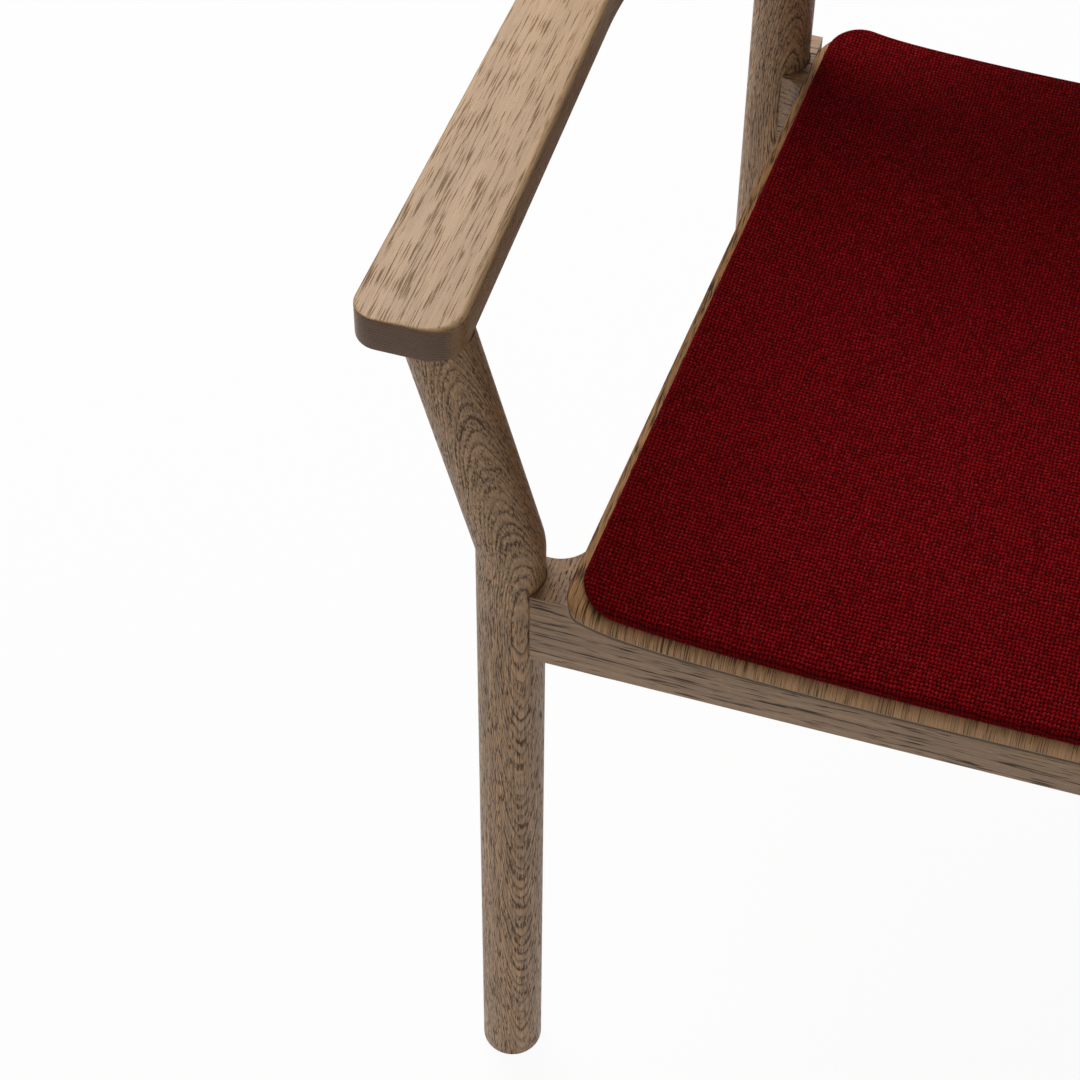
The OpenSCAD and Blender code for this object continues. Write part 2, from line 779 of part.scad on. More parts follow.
module at_back_screws() {
    for (a = back_screw_angles)
        translate([0, bow_y, arm_mid_z]) rotate([0, 0, 90 + a]) rotate([0, -90, 0])
            translate([0, 0, -bow_in_r - back_screw_seat]) children();
}

module back_bow() {
    color("#c2a27c") difference() {
        translate([0, 0, arm_z]) linear_extrude(arm_t) difference() {
            horseshoe_plan();
            arm_sector();
            mirror([1, 0]) arm_sector();
        }
        both() at_bow_joint() side_dowel_bore();
        at_back_screws() screw_hole(back_screw_l, bow_w);
    }
}

// Back shell and pad

module back_outline() {
    x = back_half - back_round;
    low = back_low + back_round;
    high = back_high - back_round;
    translate([0, big / 2, 0]) rotate([90, 0, 0]) linear_extrude(big) union() {
        translate([-x, back_low]) square([2 * x, back_high - back_low]);
        translate([-back_half, low]) square([2 * back_half, high - low]);
        for (cx = [-x, x], cz = [low, high])
            translate([cx, cz]) circle(back_round);
    }
}

module back_shell() {
    color("#a77f57") difference() {
        intersection() {
            translate([0, bow_y, 0]) rotate([0, 0, 90 - back_sweep / 2])
                rotate_extrude(angle = back_sweep, $fn = bow_fn) intersection() {
                    translate([lumbar_x, arm_mid_z]) difference() {
                        circle(lumbar_r + back_t, $fn = lumbar_fn);
                        circle(lumbar_r, $fn = lumbar_fn);
                    }
                    translate([bow_in_r - 2 * back_t, back_low - back_spare])
                        square([lumbar_r / 2, back_high - back_low + 2 * back_spare]);
                }
            back_outline();
        }
        at_back_screws() screw_hole(back_screw_l, bow_w);
    }
}

back_pad_loop = rounded_loop(
    [[back_half - back_round, back_low + back_round], [back_half - back_round, back_high - back_round],
     [-back_half + back_round, back_high - back_round], [-back_half + back_round, back_low + back_round]],
    [for (k = [0 : 3]) back_round - back_pad_inset]);

// Radius of the back shell's front face at height z
function back_face_r(z) = lumbar_x - sqrt(pow(lumbar_r + back_t, 2) - pow(z - arm_mid_z, 2));

// A point of the back pad, placed on the back shell as pad_point places one on the seat
function back_pad_point(p, inset, k, h) = let(
    x = p.x * k * (1 - inset / (back_half - back_pad_inset)),
    z = back_mid_z + (p.y - back_mid_z) * k * (1 - inset / ((back_high - back_low) / 2 - back_pad_inset)),
    r = back_face_r(z) - gap - h)
    [x, bow_y + sqrt(r * r - x * x), z];

module back_pad() {
    rings = concat([for (k = outward_shares) [rim_foot, k, 0]], rim(back_pad_t),
                   crown_rings(back_pad_t, pad_crown));
    color("#6e0512") skin(back_pad_point([0, back_mid_z], 0, 0, 0),
        [for (r = rings) [for (p = back_pad_loop) back_pad_point(p, r[0], r[1], r[2])]],
        back_pad_point([0, back_mid_z], 0, 0, back_pad_t + pad_crown));
}

// Dowels, screws, plugs and glides

module front_rail_dowels() {
    color("#b59c76") both() translate([0, front_y, 0]) at_leg_joint(front_x)
        cylinder(d = rail_dowel_d, h = rail_dowel_l);
}

module rear_rail_dowels() {
    color("#b59c76") both() translate([0, front_y + leg_depth, 0]) at_leg_joint(rear_x)
        cylinder(d = rail_dowel_d, h = rail_dowel_l);
}

module side_rail_dowels() {
    color("#b59c76") both() for (d = [front_knuckle, rear_knuckle])
        at_side_joint(d) cylinder(d = small_dowel_d, h = small_dowel_l);
}

module bow_dowels() {
    color("#b59c76") both() at_bow_joint() cylinder(d = small_dowel_d, h = small_dowel_l);
}

module corner_block_screws() {
    color("silver") both() {
        at_front_block_screws() screw(block_screw_l);
        at_rear_block_screws() screw(block_screw_l);
    }
}

module shell_screws() {
    color("silver") for (p = [front_shell_screw(), rear_shell_screw()])
        both() at_shell_screw(p) screw(shell_screw_l(p));
}

module pad_screws() {
    color("silver") at_pad_screws() screw(pad_screw_l);
}

module back_screws() {
    color("silver") at_back_screws() screw(back_screw_l);
}

module back_screw_plugs() {
    color("#8b7560") at_back_screws() translate([0, 0, -(bow_w - back_screw_seat)])
        cylinder(d = screw_head_d, h = plug_l);
}

module glide() {
    color("#2b2b2b") {
        cylinder(d = glide_d, h = glide_proud + glide_in);
        cylinder(d = nail_d, h = glide_proud + nail_l);
    }
}

module front_leg_right() {
    color("#8b7560") at_front_leg() front_leg();
}

module rear_leg_right() {
    color("#8b7560") at_rear_leg() rear_leg();
}

mirror([1, 0, 0]) front_leg_right();  // front_leg_left
front_leg_right();
mirror([1, 0, 0]) rear_leg_right();  // rear_leg_left
rear_leg_right();
front_rail();
rear_rail();
mirror([1, 0, 0]) side_rail();  // side_rail_left
side_rail();  // side_rail_right
mirror([1, 0, 0]) corner_block_front();  // corner_block_front_left
corner_block_front();  // corner_block_front_right
mirror([1, 0, 0]) corner_block_rear();  // corner_block_rear_left
corner_block_rear();  // corner_block_rear_right
seat_shell();
pad_board();
seat_pad();
mirror([1, 0, 0]) arm();  // arm_left
arm();  // arm_right
back_bow();
back_shell();
back_pad();
front_rail_dowels();
rear_rail_dowels();
side_rail_dowels();
bow_dowels();
corner_block_screws();
shell_screws();
pad_screws();
back_screws();
back_screw_plugs();
mirror([1, 0, 0]) at_front_leg() glide();  // glide_front_left
at_front_leg() glide();  // glide_front_right
mirror([1, 0, 0]) at_rear_leg() glide();  // glide_rear_left
at_rear_leg() glide();  // glide_rear_right
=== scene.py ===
# Upholstered armchair in brown-oiled oak with a form-pressed seat and red wool pads.
# Blender 4.5. Lengths in the dictionaries are millimetres; meshes are written in metres.
import json
import math

import bpy
from mathutils import Matrix, Vector, noise

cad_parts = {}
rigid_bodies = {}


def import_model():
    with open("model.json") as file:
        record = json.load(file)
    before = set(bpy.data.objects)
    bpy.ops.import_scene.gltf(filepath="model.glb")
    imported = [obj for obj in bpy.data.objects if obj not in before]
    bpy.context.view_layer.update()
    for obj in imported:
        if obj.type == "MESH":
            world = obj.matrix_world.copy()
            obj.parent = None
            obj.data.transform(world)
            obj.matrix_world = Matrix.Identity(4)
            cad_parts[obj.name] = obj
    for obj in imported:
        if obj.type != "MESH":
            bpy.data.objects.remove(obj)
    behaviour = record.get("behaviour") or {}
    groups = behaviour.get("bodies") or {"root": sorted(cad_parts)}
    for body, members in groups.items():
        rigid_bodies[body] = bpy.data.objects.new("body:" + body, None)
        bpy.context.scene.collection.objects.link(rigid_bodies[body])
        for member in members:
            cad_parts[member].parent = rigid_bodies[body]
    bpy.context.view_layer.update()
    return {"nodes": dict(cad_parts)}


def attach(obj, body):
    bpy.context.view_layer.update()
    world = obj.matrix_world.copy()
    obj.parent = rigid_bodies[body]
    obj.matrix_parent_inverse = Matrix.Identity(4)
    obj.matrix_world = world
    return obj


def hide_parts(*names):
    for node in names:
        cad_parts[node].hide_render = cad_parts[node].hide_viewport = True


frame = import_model()
print("frame loaded,", len(frame["nodes"]), "nodes")

mm = 0.001


# The chair's layout, the same as in the part's source. Depths d run back from the front leg axes.
chair = {
    "frontX": 250, "rearX": 216.8, "legDepth": 417, "legR": 17.5,
    "bendZ": 473, "splay": 14.2, "bendR": 34,  # the front legs' bend; the splay is in degrees
    "armZ": 613, "armT": 20, "armW": 53, "armInset": 0.5, "armReach": 22,
    "bowW": 44, "bowDepth": 220, "bowJoint": 62,  # the joint between arm and bow, in degrees
    "seatZ": 450, "railH": 50,
    "gap": 0.25,  # room between neighbouring pieces
}
splay = math.radians(chair["splay"])
legTopX = chair["frontX"] + (chair["armZ"] - chair["bendZ"]) * math.tan(splay)
bowInR = legTopX - chair["legR"] / math.cos(splay) + chair["armInset"]
bowOutR = bowInR + chair["bowW"]
frontY = chair["armReach"] - (chair["armReach"] + chair["bowDepth"] + bowOutR) / 2
bowY = frontY + chair["bowDepth"]
armFrontY = frontY - chair["armReach"]


# Colours and nodes

def hexColour(text):
    channels = [int(text[i:i + 2], 16) / 255 for i in (1, 3, 5)]
    return tuple(c / 12.92 if c <= 0.04045 else ((c + 0.055) / 1.055) ** 2.4
                 for c in channels) + (1,)


# Adds a node with its settings and links, and returns one of its outputs. An input is another
# node's output, a value, or a colour in hex.
def addNode(tree, kind, inputs=None, out=0, **settings):
    node = tree.nodes.new("ShaderNode" + kind)
    for key, value in settings.items():
        setattr(node, key, value)
    for key, value in (inputs or {}).items():
        if isinstance(value, bpy.types.NodeSocket):
            tree.links.new(value, node.inputs[key])
        else:
            node.inputs[key].default_value = hexColour(value) if isinstance(value, str) else value
    return node.outputs[out]


def showSurface(tree, shader, output="OutputMaterial"):
    tree.links.new(shader, tree.nodes.new("ShaderNode" + output).inputs["Surface"])


def newMaterial(name):
    material = bpy.data.materials.new(name)
    material.use_nodes = True
    material.node_tree.nodes.clear()
    return material, material.node_tree


# A Mix node holds sockets for numbers and for colours: these are its two colours and its result
mixA, mixB = 6, 7
ofColours = {"out": 2, "data_type": "RGBA"}
# What lets a Map Range node ease in and out. Its limits are 0 and 1 where none are given.
softly = {"interpolation_type": "SMOOTHSTEP"}


# The scale of a Mapping node that gives a pattern one cell in each of these millimetres
def every(sizes):
    return tuple(1 / size for size in sizes)


# Oak, planed, sanded and oiled brown: ring-porous, so every year's ring starts with a dark row of
# open pores that ends in short dashes on the face, and the oil leaves the surface almost matt.
# Each piece carries a "grain" vector: two lengths across its fibres, and the length along them.
def makeOak(name, oak):
    material, tree = newMaterial(name)
    grain = addNode(tree, "Attribute", out="Vector", attribute_name="grain")
    shifted = addNode(tree, "VectorMath", {0: grain, 1: oak["shift"]}, operation="ADD")
    noises = {}
    for key, detail in (("wander", 4), ("pore", 2.5), ("fibre", 3), ("streak", 3), ("ray", 0)):
        space = addNode(tree, "Mapping", {"Vector": shifted, "Scale": every(oak[key + "Cell"])})
        noises[key] = addNode(tree, "TexNoise", {"Vector": space, "Scale": 1, "Detail": detail})

    # year rings: their distance from the heart, bent by slow noise and tilted along the piece
    fromHeart = addNode(tree, "VectorMath", {0: grain, 1: oak["heart"] + (0,)},
                        operation="SUBTRACT")
    across = addNode(tree, "VectorMath", {0: fromHeart, 1: (1, 1, 0)}, operation="MULTIPLY")
    radius = addNode(tree, "VectorMath", {0: across}, out="Value", operation="LENGTH")
    along = addNode(tree, "SeparateXYZ", {0: shifted}, out="Z")
    tilted = addNode(tree, "Math", {0: along, 1: oak["tilt"], 2: radius},
                     operation="MULTIPLY_ADD")
    bent = addNode(tree, "Math", {0: noises["wander"], 1: oak["wander"], 2: tilted},
                   operation="MULTIPLY_ADD")
    years = addNode(tree, "Math", {0: bent, 1: oak["ring"]}, operation="DIVIDE")
    ring = addNode(tree, "Math", {0: years}, operation="FRACT")
    year = addNode(tree, "Math", {0: years}, operation="FLOOR")
    yearTone = addNode(tree, "TexWhiteNoise", {"W": year}, noise_dimensions="1D")
    early = addNode(tree, "MapRange", {"Value": ring, "From Max": oak["early"], "To Min": 1,
                                       "To Max": 0}, **softly)
    yearDepth = addNode(tree, "MapRange", {"Value": yearTone, "To Min": 0.35})
    band = addNode(tree, "Math", {0: early, 1: yearDepth}, operation="MULTIPLY")

    # pores: short dark dashes along the fibres, crowded in the early wood and in threads that
    # follow the rings
    thread = addNode(tree, "CombineXYZ", {"X": bent, "Z": along})
    threadSpace = addNode(tree, "Mapping", {"Vector": thread, "Scale": every(oak["threadCell"])})
    threads = addNode(tree, "TexNoise", {"Vector": threadSpace, "Scale": 1, "Detail": 1})
    threadPull = addNode(tree, "Math", {0: threads, 1: 0.5}, operation="SUBTRACT")
    crowd = addNode(tree, "MapRange", {"Value": band, "To Min": oak["poreFew"],
                                       "To Max": oak["poreMany"]})
    cover = addNode(tree, "Math", {0: threadPull, 1: oak["threads"], 2: crowd},
                    operation="MULTIPLY_ADD")
    poreEdge = addNode(tree, "Math", {0: cover, 1: noises["pore"]}, operation="SUBTRACT")
    pore = addNode(tree, "MapRange", {"Value": poreEdge, "From Min": -0.05, "From Max": 0.09},
                   **softly)

    # colours: the late and early wood, broad streaks, rays, the tone of the fibres, the pores
    bandMix = addNode(tree, "Math", {0: band, 1: oak["bandDepth"]}, operation="MULTIPLY")
    wood = addNode(tree, "Mix", {0: bandMix, mixA: oak["late"], mixB: oak["earlyColour"]},
                   **ofColours)
    streak = addNode(tree, "MapRange", {"Value": noises["streak"], "From Min": 0.35,
                                        "From Max": 0.68, "To Max": oak["streaks"]}, **softly)
    streaked = addNode(tree, "Mix", {0: streak, mixA: wood, mixB: oak["streakColour"]},
                       **ofColours)
    ray = addNode(tree, "MapRange", {"Value": noises["ray"], "From Min": 0.66, "From Max": 0.74,
                                     "To Max": oak["rays"]})
    rayed = addNode(tree, "Mix", {0: ray, mixA: streaked, mixB: oak["rayColour"]}, **ofColours)
    fibreTone = addNode(tree, "MapRange", {"Value": noises["fibre"], "From Min": 0.25,
                                           "From Max": 0.75, "To Min": oak["fibre"][0],
                                           "To Max": oak["fibre"][1]})
    fibred = addNode(tree, "VectorMath", {0: rayed, "Scale": fibreTone}, operation="SCALE")
    poreMix = addNode(tree, "Math", {0: pore, 1: oak["poreDepth"]}, operation="MULTIPLY")
    face = addNode(tree, "Mix", {0: poreMix, mixA: fibred, mixB: oak["poreColour"]},
                   **ofColours)

    # end grain drinks more oil and turns dark, and its rings show
    normal = addNode(tree, "NewGeometry", out="Normal")
    facing = addNode(tree, "VectorMath", {0: normal, 1: oak["lies"]}, out="Value",
                     operation="DOT_PRODUCT")
    endOn = addNode(tree, "Math", {0: facing}, operation="ABSOLUTE")
    end = addNode(tree, "MapRange", {"Value": endOn, "From Min": 0.45, "From Max": 0.85},
                  **softly)
    endRing = addNode(tree, "MapRange", {"Value": band, "To Min": 1.25, "To Max": 0.6})
    soaked = addNode(tree, "Mix", {0: 1, mixA: face, mixB: oak["soak"]}, **ofColours,
                     blend_type="MULTIPLY")
    ringed = addNode(tree, "VectorMath", {0: soaked, "Scale": endRing}, operation="SCALE")
    colour = addNode(tree, "Mix", {0: end, mixA: face, mixB: ringed}, **ofColours)

    # pores are sunk, and rougher than the oiled face
    sunk = addNode(tree, "Math", {0: pore, 1: -1, 2: noises["fibre"]}, operation="MULTIPLY_ADD")
    bump = addNode(tree, "Bump", {"Strength": 0.45, "Distance": 0.15 * mm, "Height": sunk})
    rough = addNode(tree, "MapRange", {"Value": pore, "To Min": oak["rough"],
                                       "To Max": oak["poreRough"]})
    shader = addNode(tree, "BsdfPrincipled", {"Base Color": colour, "Roughness": rough,
                                              "IOR": 1.47, "Normal": bump})
    showSurface(tree, shader)
    return material


# What all the oak has. A cell is the size of one patch of a pattern, in millimetres; "lies" is
# the way that the fibres run in the chair, and "shift" picks another place in the board.
oiledOak = {
    "streakColour": "#a88662", "rayColour": "#d2b48e", "poreColour": "#33200f", "soak": "#8a7768",
    "lies": (0, 0, 1), "shift": (0, 0, 0), "wander": 3.0, "early": 0.6, "bandDepth": 0.6,
    "wanderCell": (18, 18, 120), "threadCell": (0.9, 1, 16), "fibreCell": (0.7, 0.7, 40),
    "streakCell": (7, 7, 150), "rayCell": (0.5, 14, 5), "streaks": 0.5, "rays": 0.3,
    "rough": 0.46, "poreRough": 0.8,
}


# Plywood and veneer edges: sheets about a millimetre thick, glued with their grain crossed, so the
# sanded edge shows light and dark lines that follow the form.
def makePlyEdge(name, ply):
    material, tree = newMaterial(name)
    grain = addNode(tree, "Attribute", out="Vector", attribute_name="grain")
    depth = addNode(tree, "SeparateXYZ", {0: grain}, out="Y")
    sheets = addNode(tree, "Math", {0: depth, 1: 2 * ply["sheet"]}, operation="DIVIDE")
    turn = addNode(tree, "Math", {0: sheets, 1: 0.5}, operation="PINGPONG")
    cross = addNode(tree, "MapRange", {"Value": turn, "From Min": 0.2, "From Max": 0.3},
                    **softly)
    fineSpace = addNode(tree, "Mapping", {"Vector": grain, "Scale": every(ply["fineCell"])})
    fine = addNode(tree, "TexNoise", {"Vector": fineSpace, "Scale": 1, "Detail": 2})
    tone = addNode(tree, "MapRange", {"Value": fine, "To Min": 0.75, "To Max": 1.2})
    wood = addNode(tree, "Mix", {0: cross, mixA: ply["long"], mixB: ply["cross"]}, **ofColours)
    colour = addNode(tree, "VectorMath", {0: wood, "Scale": tone}, operation="SCALE")
    shader = addNode(tree, "BsdfPrincipled", {"Base Color": colour, "Roughness": 0.8,
                                              "Specular IOR Level": 0.15})
    showSurface(tree, shader)
    return material


plyEdge = makePlyEdge("veneer edge, sanded", {"sheet": 1.1, "fineCell": (0.8, 0.4, 0.8),
                                              "long": "#a8937c", "cross": "#6e5c4c"})


# Wool upholstery cloth, plain weave of thick yarn: every yarn crossing is a small cushion, the
# gaps between them are painted dark as shade, and loose fibres catch light where the cloth
# turns away.
def makeWool(name, wool):
    material, tree = newMaterial(name)
    cloth = addNode(tree, "Attribute", out="Vector", attribute_name="cloth")
    noises = {}
    for key, detail, out in (("wobble", 3, "Color"), ("fuzz", 3, 0), ("fleckHighlight", 2, 0)):
        space = addNode(tree, "Mapping", {"Vector": cloth, "Scale": every(wool[key + "Cell"])})
        noises[key] = addNode(tree, "TexNoise", {"Vector": space, "Scale": 1, "Detail": detail},
                              out)

    # the yarns wander a little; each crossing has a whole number and a place within it
    wobble = (wool["wobble"], wool["wobble"], 0)
    centred = addNode(tree, "VectorMath", {0: noises["wobble"], 1: (0.5, 0.5, 0.5)},
                      operation="SUBTRACT")
    moved = addNode(tree, "VectorMath", {0: centred, 1: wobble, 2: cloth},
                    operation="MULTIPLY_ADD")
    yarns = addNode(tree, "VectorMath", {0: moved, 1: (wool["warp"], wool["weft"], 1)},
                    operation="DIVIDE")
    cell = addNode(tree, "VectorMath", {0: yarns}, operation="FLOOR")
    place = addNode(tree, "VectorMath", {0: yarns}, operation="FRACTION")
    numbers, rounds, fulls, gaps = [], [], [], []
    for axis in ("X", "Y"):
        numbers.append(addNode(tree, "SeparateXYZ", {0: cell}, axis))
        along = addNode(tree, "SeparateXYZ", {0: place}, axis)
        turn = addNode(tree, "Math", {0: along, 1: math.pi}, operation="MULTIPLY")
        rounds.append(addNode(tree, "Math", {0: turn}, operation="SINE"))
        fulls.append(addNode(tree, "Math", {0: rounds[-1], 1: 0.5}, operation="POWER"))
        gaps.append(addNode(tree, "Math", {0: 1, 1: rounds[-1]}, operation="SUBTRACT"))

    # warp over weft or weft over warp in turn, and holes where four yarns meet, painted dark as
    # shade
    total = addNode(tree, "Math", {0: numbers[0], 1: numbers[1]}, operation="ADD")
    over = addNode(tree, "Math", {0: total, 1: 2}, operation="FLOORED_MODULO")
    warpUp = addNode(tree, "Math", {0: fulls[0], 1: rounds[1]}, operation="MULTIPLY")
    weftUp = addNode(tree, "Math", {0: fulls[1], 1: rounds[0]}, operation="MULTIPLY")
    height = addNode(tree, "Mix", {"Factor": over, "A": warpUp, "B": weftUp})
    meeting = addNode(tree, "Math", {0: gaps[0], 1: gaps[1]}, operation="MULTIPLY")
    fibred = addNode(tree, "Math", {0: noises["fuzz"], 1: -0.45, 2: meeting},
                     operation="MULTIPLY_ADD")
    holeShade = addNode(tree, "MapRange", {"Value": fibred, "From Min": -0.2, "From Max": 0.22},
                   **softly)

    # each crossing has its own tone, as the yarn is spun from fibres of several reds, and flecks
    # of loose fibre lie over them, painted bright pink as highlights where they catch the light
    yarnTone = addNode(tree, "TexWhiteNoise", {"Vector": cell})
    tuft = addNode(tree, "Math", {0: yarnTone, 1: 0.7, 2: noises["fuzz"]},
                   operation="MULTIPLY_ADD")
    lit = addNode(tree, "MapRange", {"Value": tuft, "From Min": 0.35, "From Max": 1.1})
    yarn = addNode(tree, "Mix", {0: lit, mixA: wool["yarn"], mixB: wool["light"]}, **ofColours)
    # painted highlight: the flecks take the bright fibre colour
    fleckHighlight = addNode(tree, "MapRange", {"Value": noises["fleckHighlight"], "From Min": 0.5,
                                       "From Max": 0.85, "To Max": 0.55})
    highlightFlecked = addNode(tree, "Mix", {0: fleckHighlight, mixA: yarn, mixB: wool["fibre"]}, **ofColours)
    # the holes take the gap colour, which is painted shade
    body = addNode(tree, "Mix", {0: holeShade, mixA: highlightFlecked, mixB: wool["gap"]}, **ofColours)
    relief = addNode(tree, "Math", {0: noises["fuzz"], 1: 0.5, 2: height},
                     operation="MULTIPLY_ADD")
    bump = addNode(tree, "Bump", {"Strength": 1, "Distance": 0.8 * mm, "Height": relief})
    shader = addNode(tree, "BsdfPrincipled",
                     {"Base Color": body, "Roughness": 0.95, "Specular IOR Level": 0.05,
                      "Sheen Weight": 0.1, "Sheen Roughness": 0.3, "Sheen Tint": wool["fibre"],
                      "Normal": bump})
    showSurface(tree, shader)
    return material


# Small wooden parts that stay raw, such as dowels and corner blocks: sawn and sanded, no oil.
def makeRawWood(name, raw):
    material, tree = newMaterial(name)
    place = addNode(tree, "TexCoord", out="Object")
    long = addNode(tree, "Mapping", {"Vector": place, "Scale": raw["perMetre"]})
    fibre = addNode(tree, "TexNoise", {"Vector": long, "Scale": 1, "Detail": 4})
    bands = addNode(tree, "TexWave", {"Vector": long, "Scale": 0.12, "Distortion": 3,
                                      "Detail": 2}, bands_direction="Y")
    both = addNode(tree, "Math", {0: bands, 1: 0.35, 2: fibre}, operation="MULTIPLY_ADD")
    tone = addNode(tree, "MapRange", {"Value": both, "From Min": 0.35, "From Max": 0.95})
    colour = addNode(tree, "Mix", {0: tone, mixA: raw["dark"], mixB: raw["light"]}, **ofColours)
    bump = addNode(tree, "Bump", {"Strength": 0.3, "Distance": 0.2 * mm, "Height": fibre})
    shader = addNode(tree, "BsdfPrincipled", {"Base Color": colour, "Roughness": 0.7,
                                              "Specular IOR Level": 0.3, "Normal": bump})
    showSurface(tree, shader)
    return material


# Zinc-plated steel screws: turned and plated, a little dull, with fine marks round the head.
def makeZincSteel(name, zinc):
    material, tree = newMaterial(name)
    place = addNode(tree, "TexCoord", out="Object")
    marks = addNode(tree, "TexNoise", {"Vector": place, "Scale": zinc["perMetre"], "Detail": 3})
    tone = addNode(tree, "Mix", {0: marks, mixA: zinc["dark"], mixB: zinc["light"]}, **ofColours)
    rough = addNode(tree, "MapRange", {"Value": marks, "To Min": 0.28, "To Max": 0.5})
    shader = addNode(tree, "BsdfPrincipled", {"Base Color": tone, "Metallic": 1,
                                              "Roughness": rough})
    showSurface(tree, shader)
    return material


# Nylon glides: injection moulded, grey-black, with the faint grain of the mould.
def makeNylon(name, nylon):
    material, tree = newMaterial(name)
    place = addNode(tree, "TexCoord", out="Object")
    grit = addNode(tree, "TexNoise", {"Vector": place, "Scale": nylon["perMetre"], "Detail": 2})
    tone = addNode(tree, "Mix", {0: grit, mixA: nylon["dark"], mixB: nylon["light"]}, **ofColours)
    bump = addNode(tree, "Bump", {"Strength": 0.3, "Distance": 0.1 * mm, "Height": grit})
    shader = addNode(tree, "BsdfPrincipled", {"Base Color": tone, "Roughness": 0.45,
                                              "IOR": 1.53, "Normal": bump})
    showSurface(tree, shader)
    return material


print("finishes defined")


# Meshes

def writeExtra(mesh, attribute, extra):
    layer = mesh.attributes.new(attribute, "FLOAT_VECTOR", "POINT")
    layer.data.foreach_set("vector", [c for v in extra for c in v])


# Writes a mesh; `extra` is one vector for each point, in millimetres, for the material to read.
def makePiece(name, points, faces, materials, attribute=None, extra=None, faceSlots=None,
              sharp=38):
    mesh = bpy.data.meshes.new(name)
    mesh.from_pydata([[c * mm for c in p] for p in points], [], faces)
    for material in materials:
        mesh.materials.append(material)
    if faceSlots:
        mesh.polygons.foreach_set("material_index", faceSlots)
    if attribute:
        writeExtra(mesh, attribute, extra)
    mesh.shade_smooth()
    mesh.set_sharp_from_angle(angle=math.radians(sharp))
    piece = bpy.data.objects.new(name, mesh)
    bpy.context.collection.objects.link(piece)
    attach(piece, "root")
    return piece


# Plan and height as they are
def asDrawn(u, v, h):
    return (u, v, h)


# One value for the whole ring, or one for each of its points
def pick(value, k):
    return value[k] if isinstance(value, (list, tuple)) else value


# Inward steps at each point, longer at corners so that an inset keeps its width
def inwardNormals(outline):
    normals = []
    for k, p in enumerate(outline):
        before, after = outline[k - 1], outline[(k + 1) % len(outline)]
        sides = []
        for a, b in ((before, p), (p, after)):
            length = math.dist(a, b) or 1
            sides.append((-(b[1] - a[1]) / length, (b[0] - a[0]) / length))
        x, y = sides[0][0] + sides[1][0], sides[0][1] + sides[1][1]
        size = max(0.5, (x * x + y * y) / 2)
        normals.append((x / size, y / size))
    return normals


# Faces of a closed solid whose rings have `count` points each, with a flat end at both ends
def ringFaces(rings, count):
    faces = [(j * count + k, j * count + (k + 1) % count, (j + 1) * count + (k + 1) % count,
              (j + 1) * count + k) for j in range(rings - 1) for k in range(count)]
    return faces + [tuple(reversed(range(count))), tuple(range((rings - 1) * count, rings * count))]


# A closed solid from rings of one outline: each ring is (inset, share, height), from foot to top.
# The outline runs anticlockwise; place(u, v, height) puts a point in the chair.
def ringSolid(outline, rings, place, middle=(0, 0)):
    normals = inwardNormals(outline)
    points = []
    for inset, share, height in rings:
        for k, (p, n) in enumerate(zip(outline, normals)):
            u = p[0] + n[0] * pick(inset, k)
            v = p[1] + n[1] * pick(inset, k)
            u, v = middle[0] + (u - middle[0]) * share, middle[1] + (v - middle[1]) * share
            points.append(place(u, v, pick(height, k)))
    return points, ringFaces(len(rings), len(outline))


def arcPoints(cx, cy, r, start, end, steps):
    angles = [math.radians(start + (end - start) * i / steps) for i in range(steps + 1)]
    return [(cx + r * math.cos(angle), cy + r * math.sin(angle)) for angle in angles]


# Rounds the corners of a polygon; radii holds one radius for each corner, 0 to keep it sharp
def roundCorners(corners, radii, steps):
    outline = []
    for k, p in enumerate(corners):
        p = Vector(p)
        if radii[k] <= 0:
            outline.append(tuple(p))
            continue
        back = (Vector(corners[k - 1]) - p).normalized()
        ahead = (Vector(corners[(k + 1) % len(corners)]) - p).normalized()
        half = back.angle(ahead) / 2
        centre = p + (back + ahead).normalized() * radii[k] / math.sin(half)
        first = p + back * radii[k] / math.tan(half) - centre
        last = p + ahead * radii[k] / math.tan(half) - centre
        whole = first.angle(last) * (1 if first.cross(last) > 0 else -1)
        outline += [tuple(centre + Matrix.Rotation(whole * i / steps, 2) @ first)
                    for i in range(steps + 1)]
    return outline


def mirrored(outline):
    return [(-x, y) for x, y in reversed(outline)]


# Rings of a flat board, with its lower and upper edges rounded; the upper rounding may be a list
# with one radius for each point of the outline
def boardRings(low, high, lowRound, topRound, steps=5):
    turns = [math.pi / 2 * i / steps for i in range(steps + 1)]
    rings = [(lowRound * (1 - math.sin(turn)), 1, low + lowRound * (1 - math.cos(turn)))
             for turn in turns]
    for turn in turns:
        if isinstance(topRound, list):
            rings.append(([r * (1 - math.cos(turn)) for r in topRound], 1,
                          [high - r * (1 - math.sin(turn)) for r in topRound]))
        else:
            rings.append((topRound * (1 - math.cos(turn)), 1,
                          high - topRound * (1 - math.sin(turn))))
    return rings


# Legs

legs = {
    "footRound": 2.5, "glideHole": 11.25, "glideDeep": 3, "footZ": 1, "tenonR": 9, "tenonL": 12,
    "sides": 72, "rows": (60, 180, 300, 395, 415, 435, 455), "roundSteps": 6, "bendSteps": 12,
    "aboveBend": 60, "nearTop": 560,
    "facing": -119,  # direction from a leg's axis to the heart of its tree, in degrees
    "runFrom": 395, "runOver": 80, "runOut": 0.26,  # where its rings run out, and how steeply
}
legOak = dict(oiledOak, late="#cda277", earlyColour="#6e4629", heart=(-6.0, 45.0), tilt=-0.11,
              ring=1.1, wander=3.6, early=0.55, bandDepth=1.0, poreCell=(0.62, 0.62, 7),
              poreFew=0.42, poreMany=0.54, threads=0.6, poreDepth=0.8, fibre=(0.4, 1.3))
legWood = makeOak("turned oak, oiled", legOak)
rearLegWood = makeOak("turned oak, oiled, from another board",
                      dict(legOak, shift=(31.0, 17.0, 220.0)))


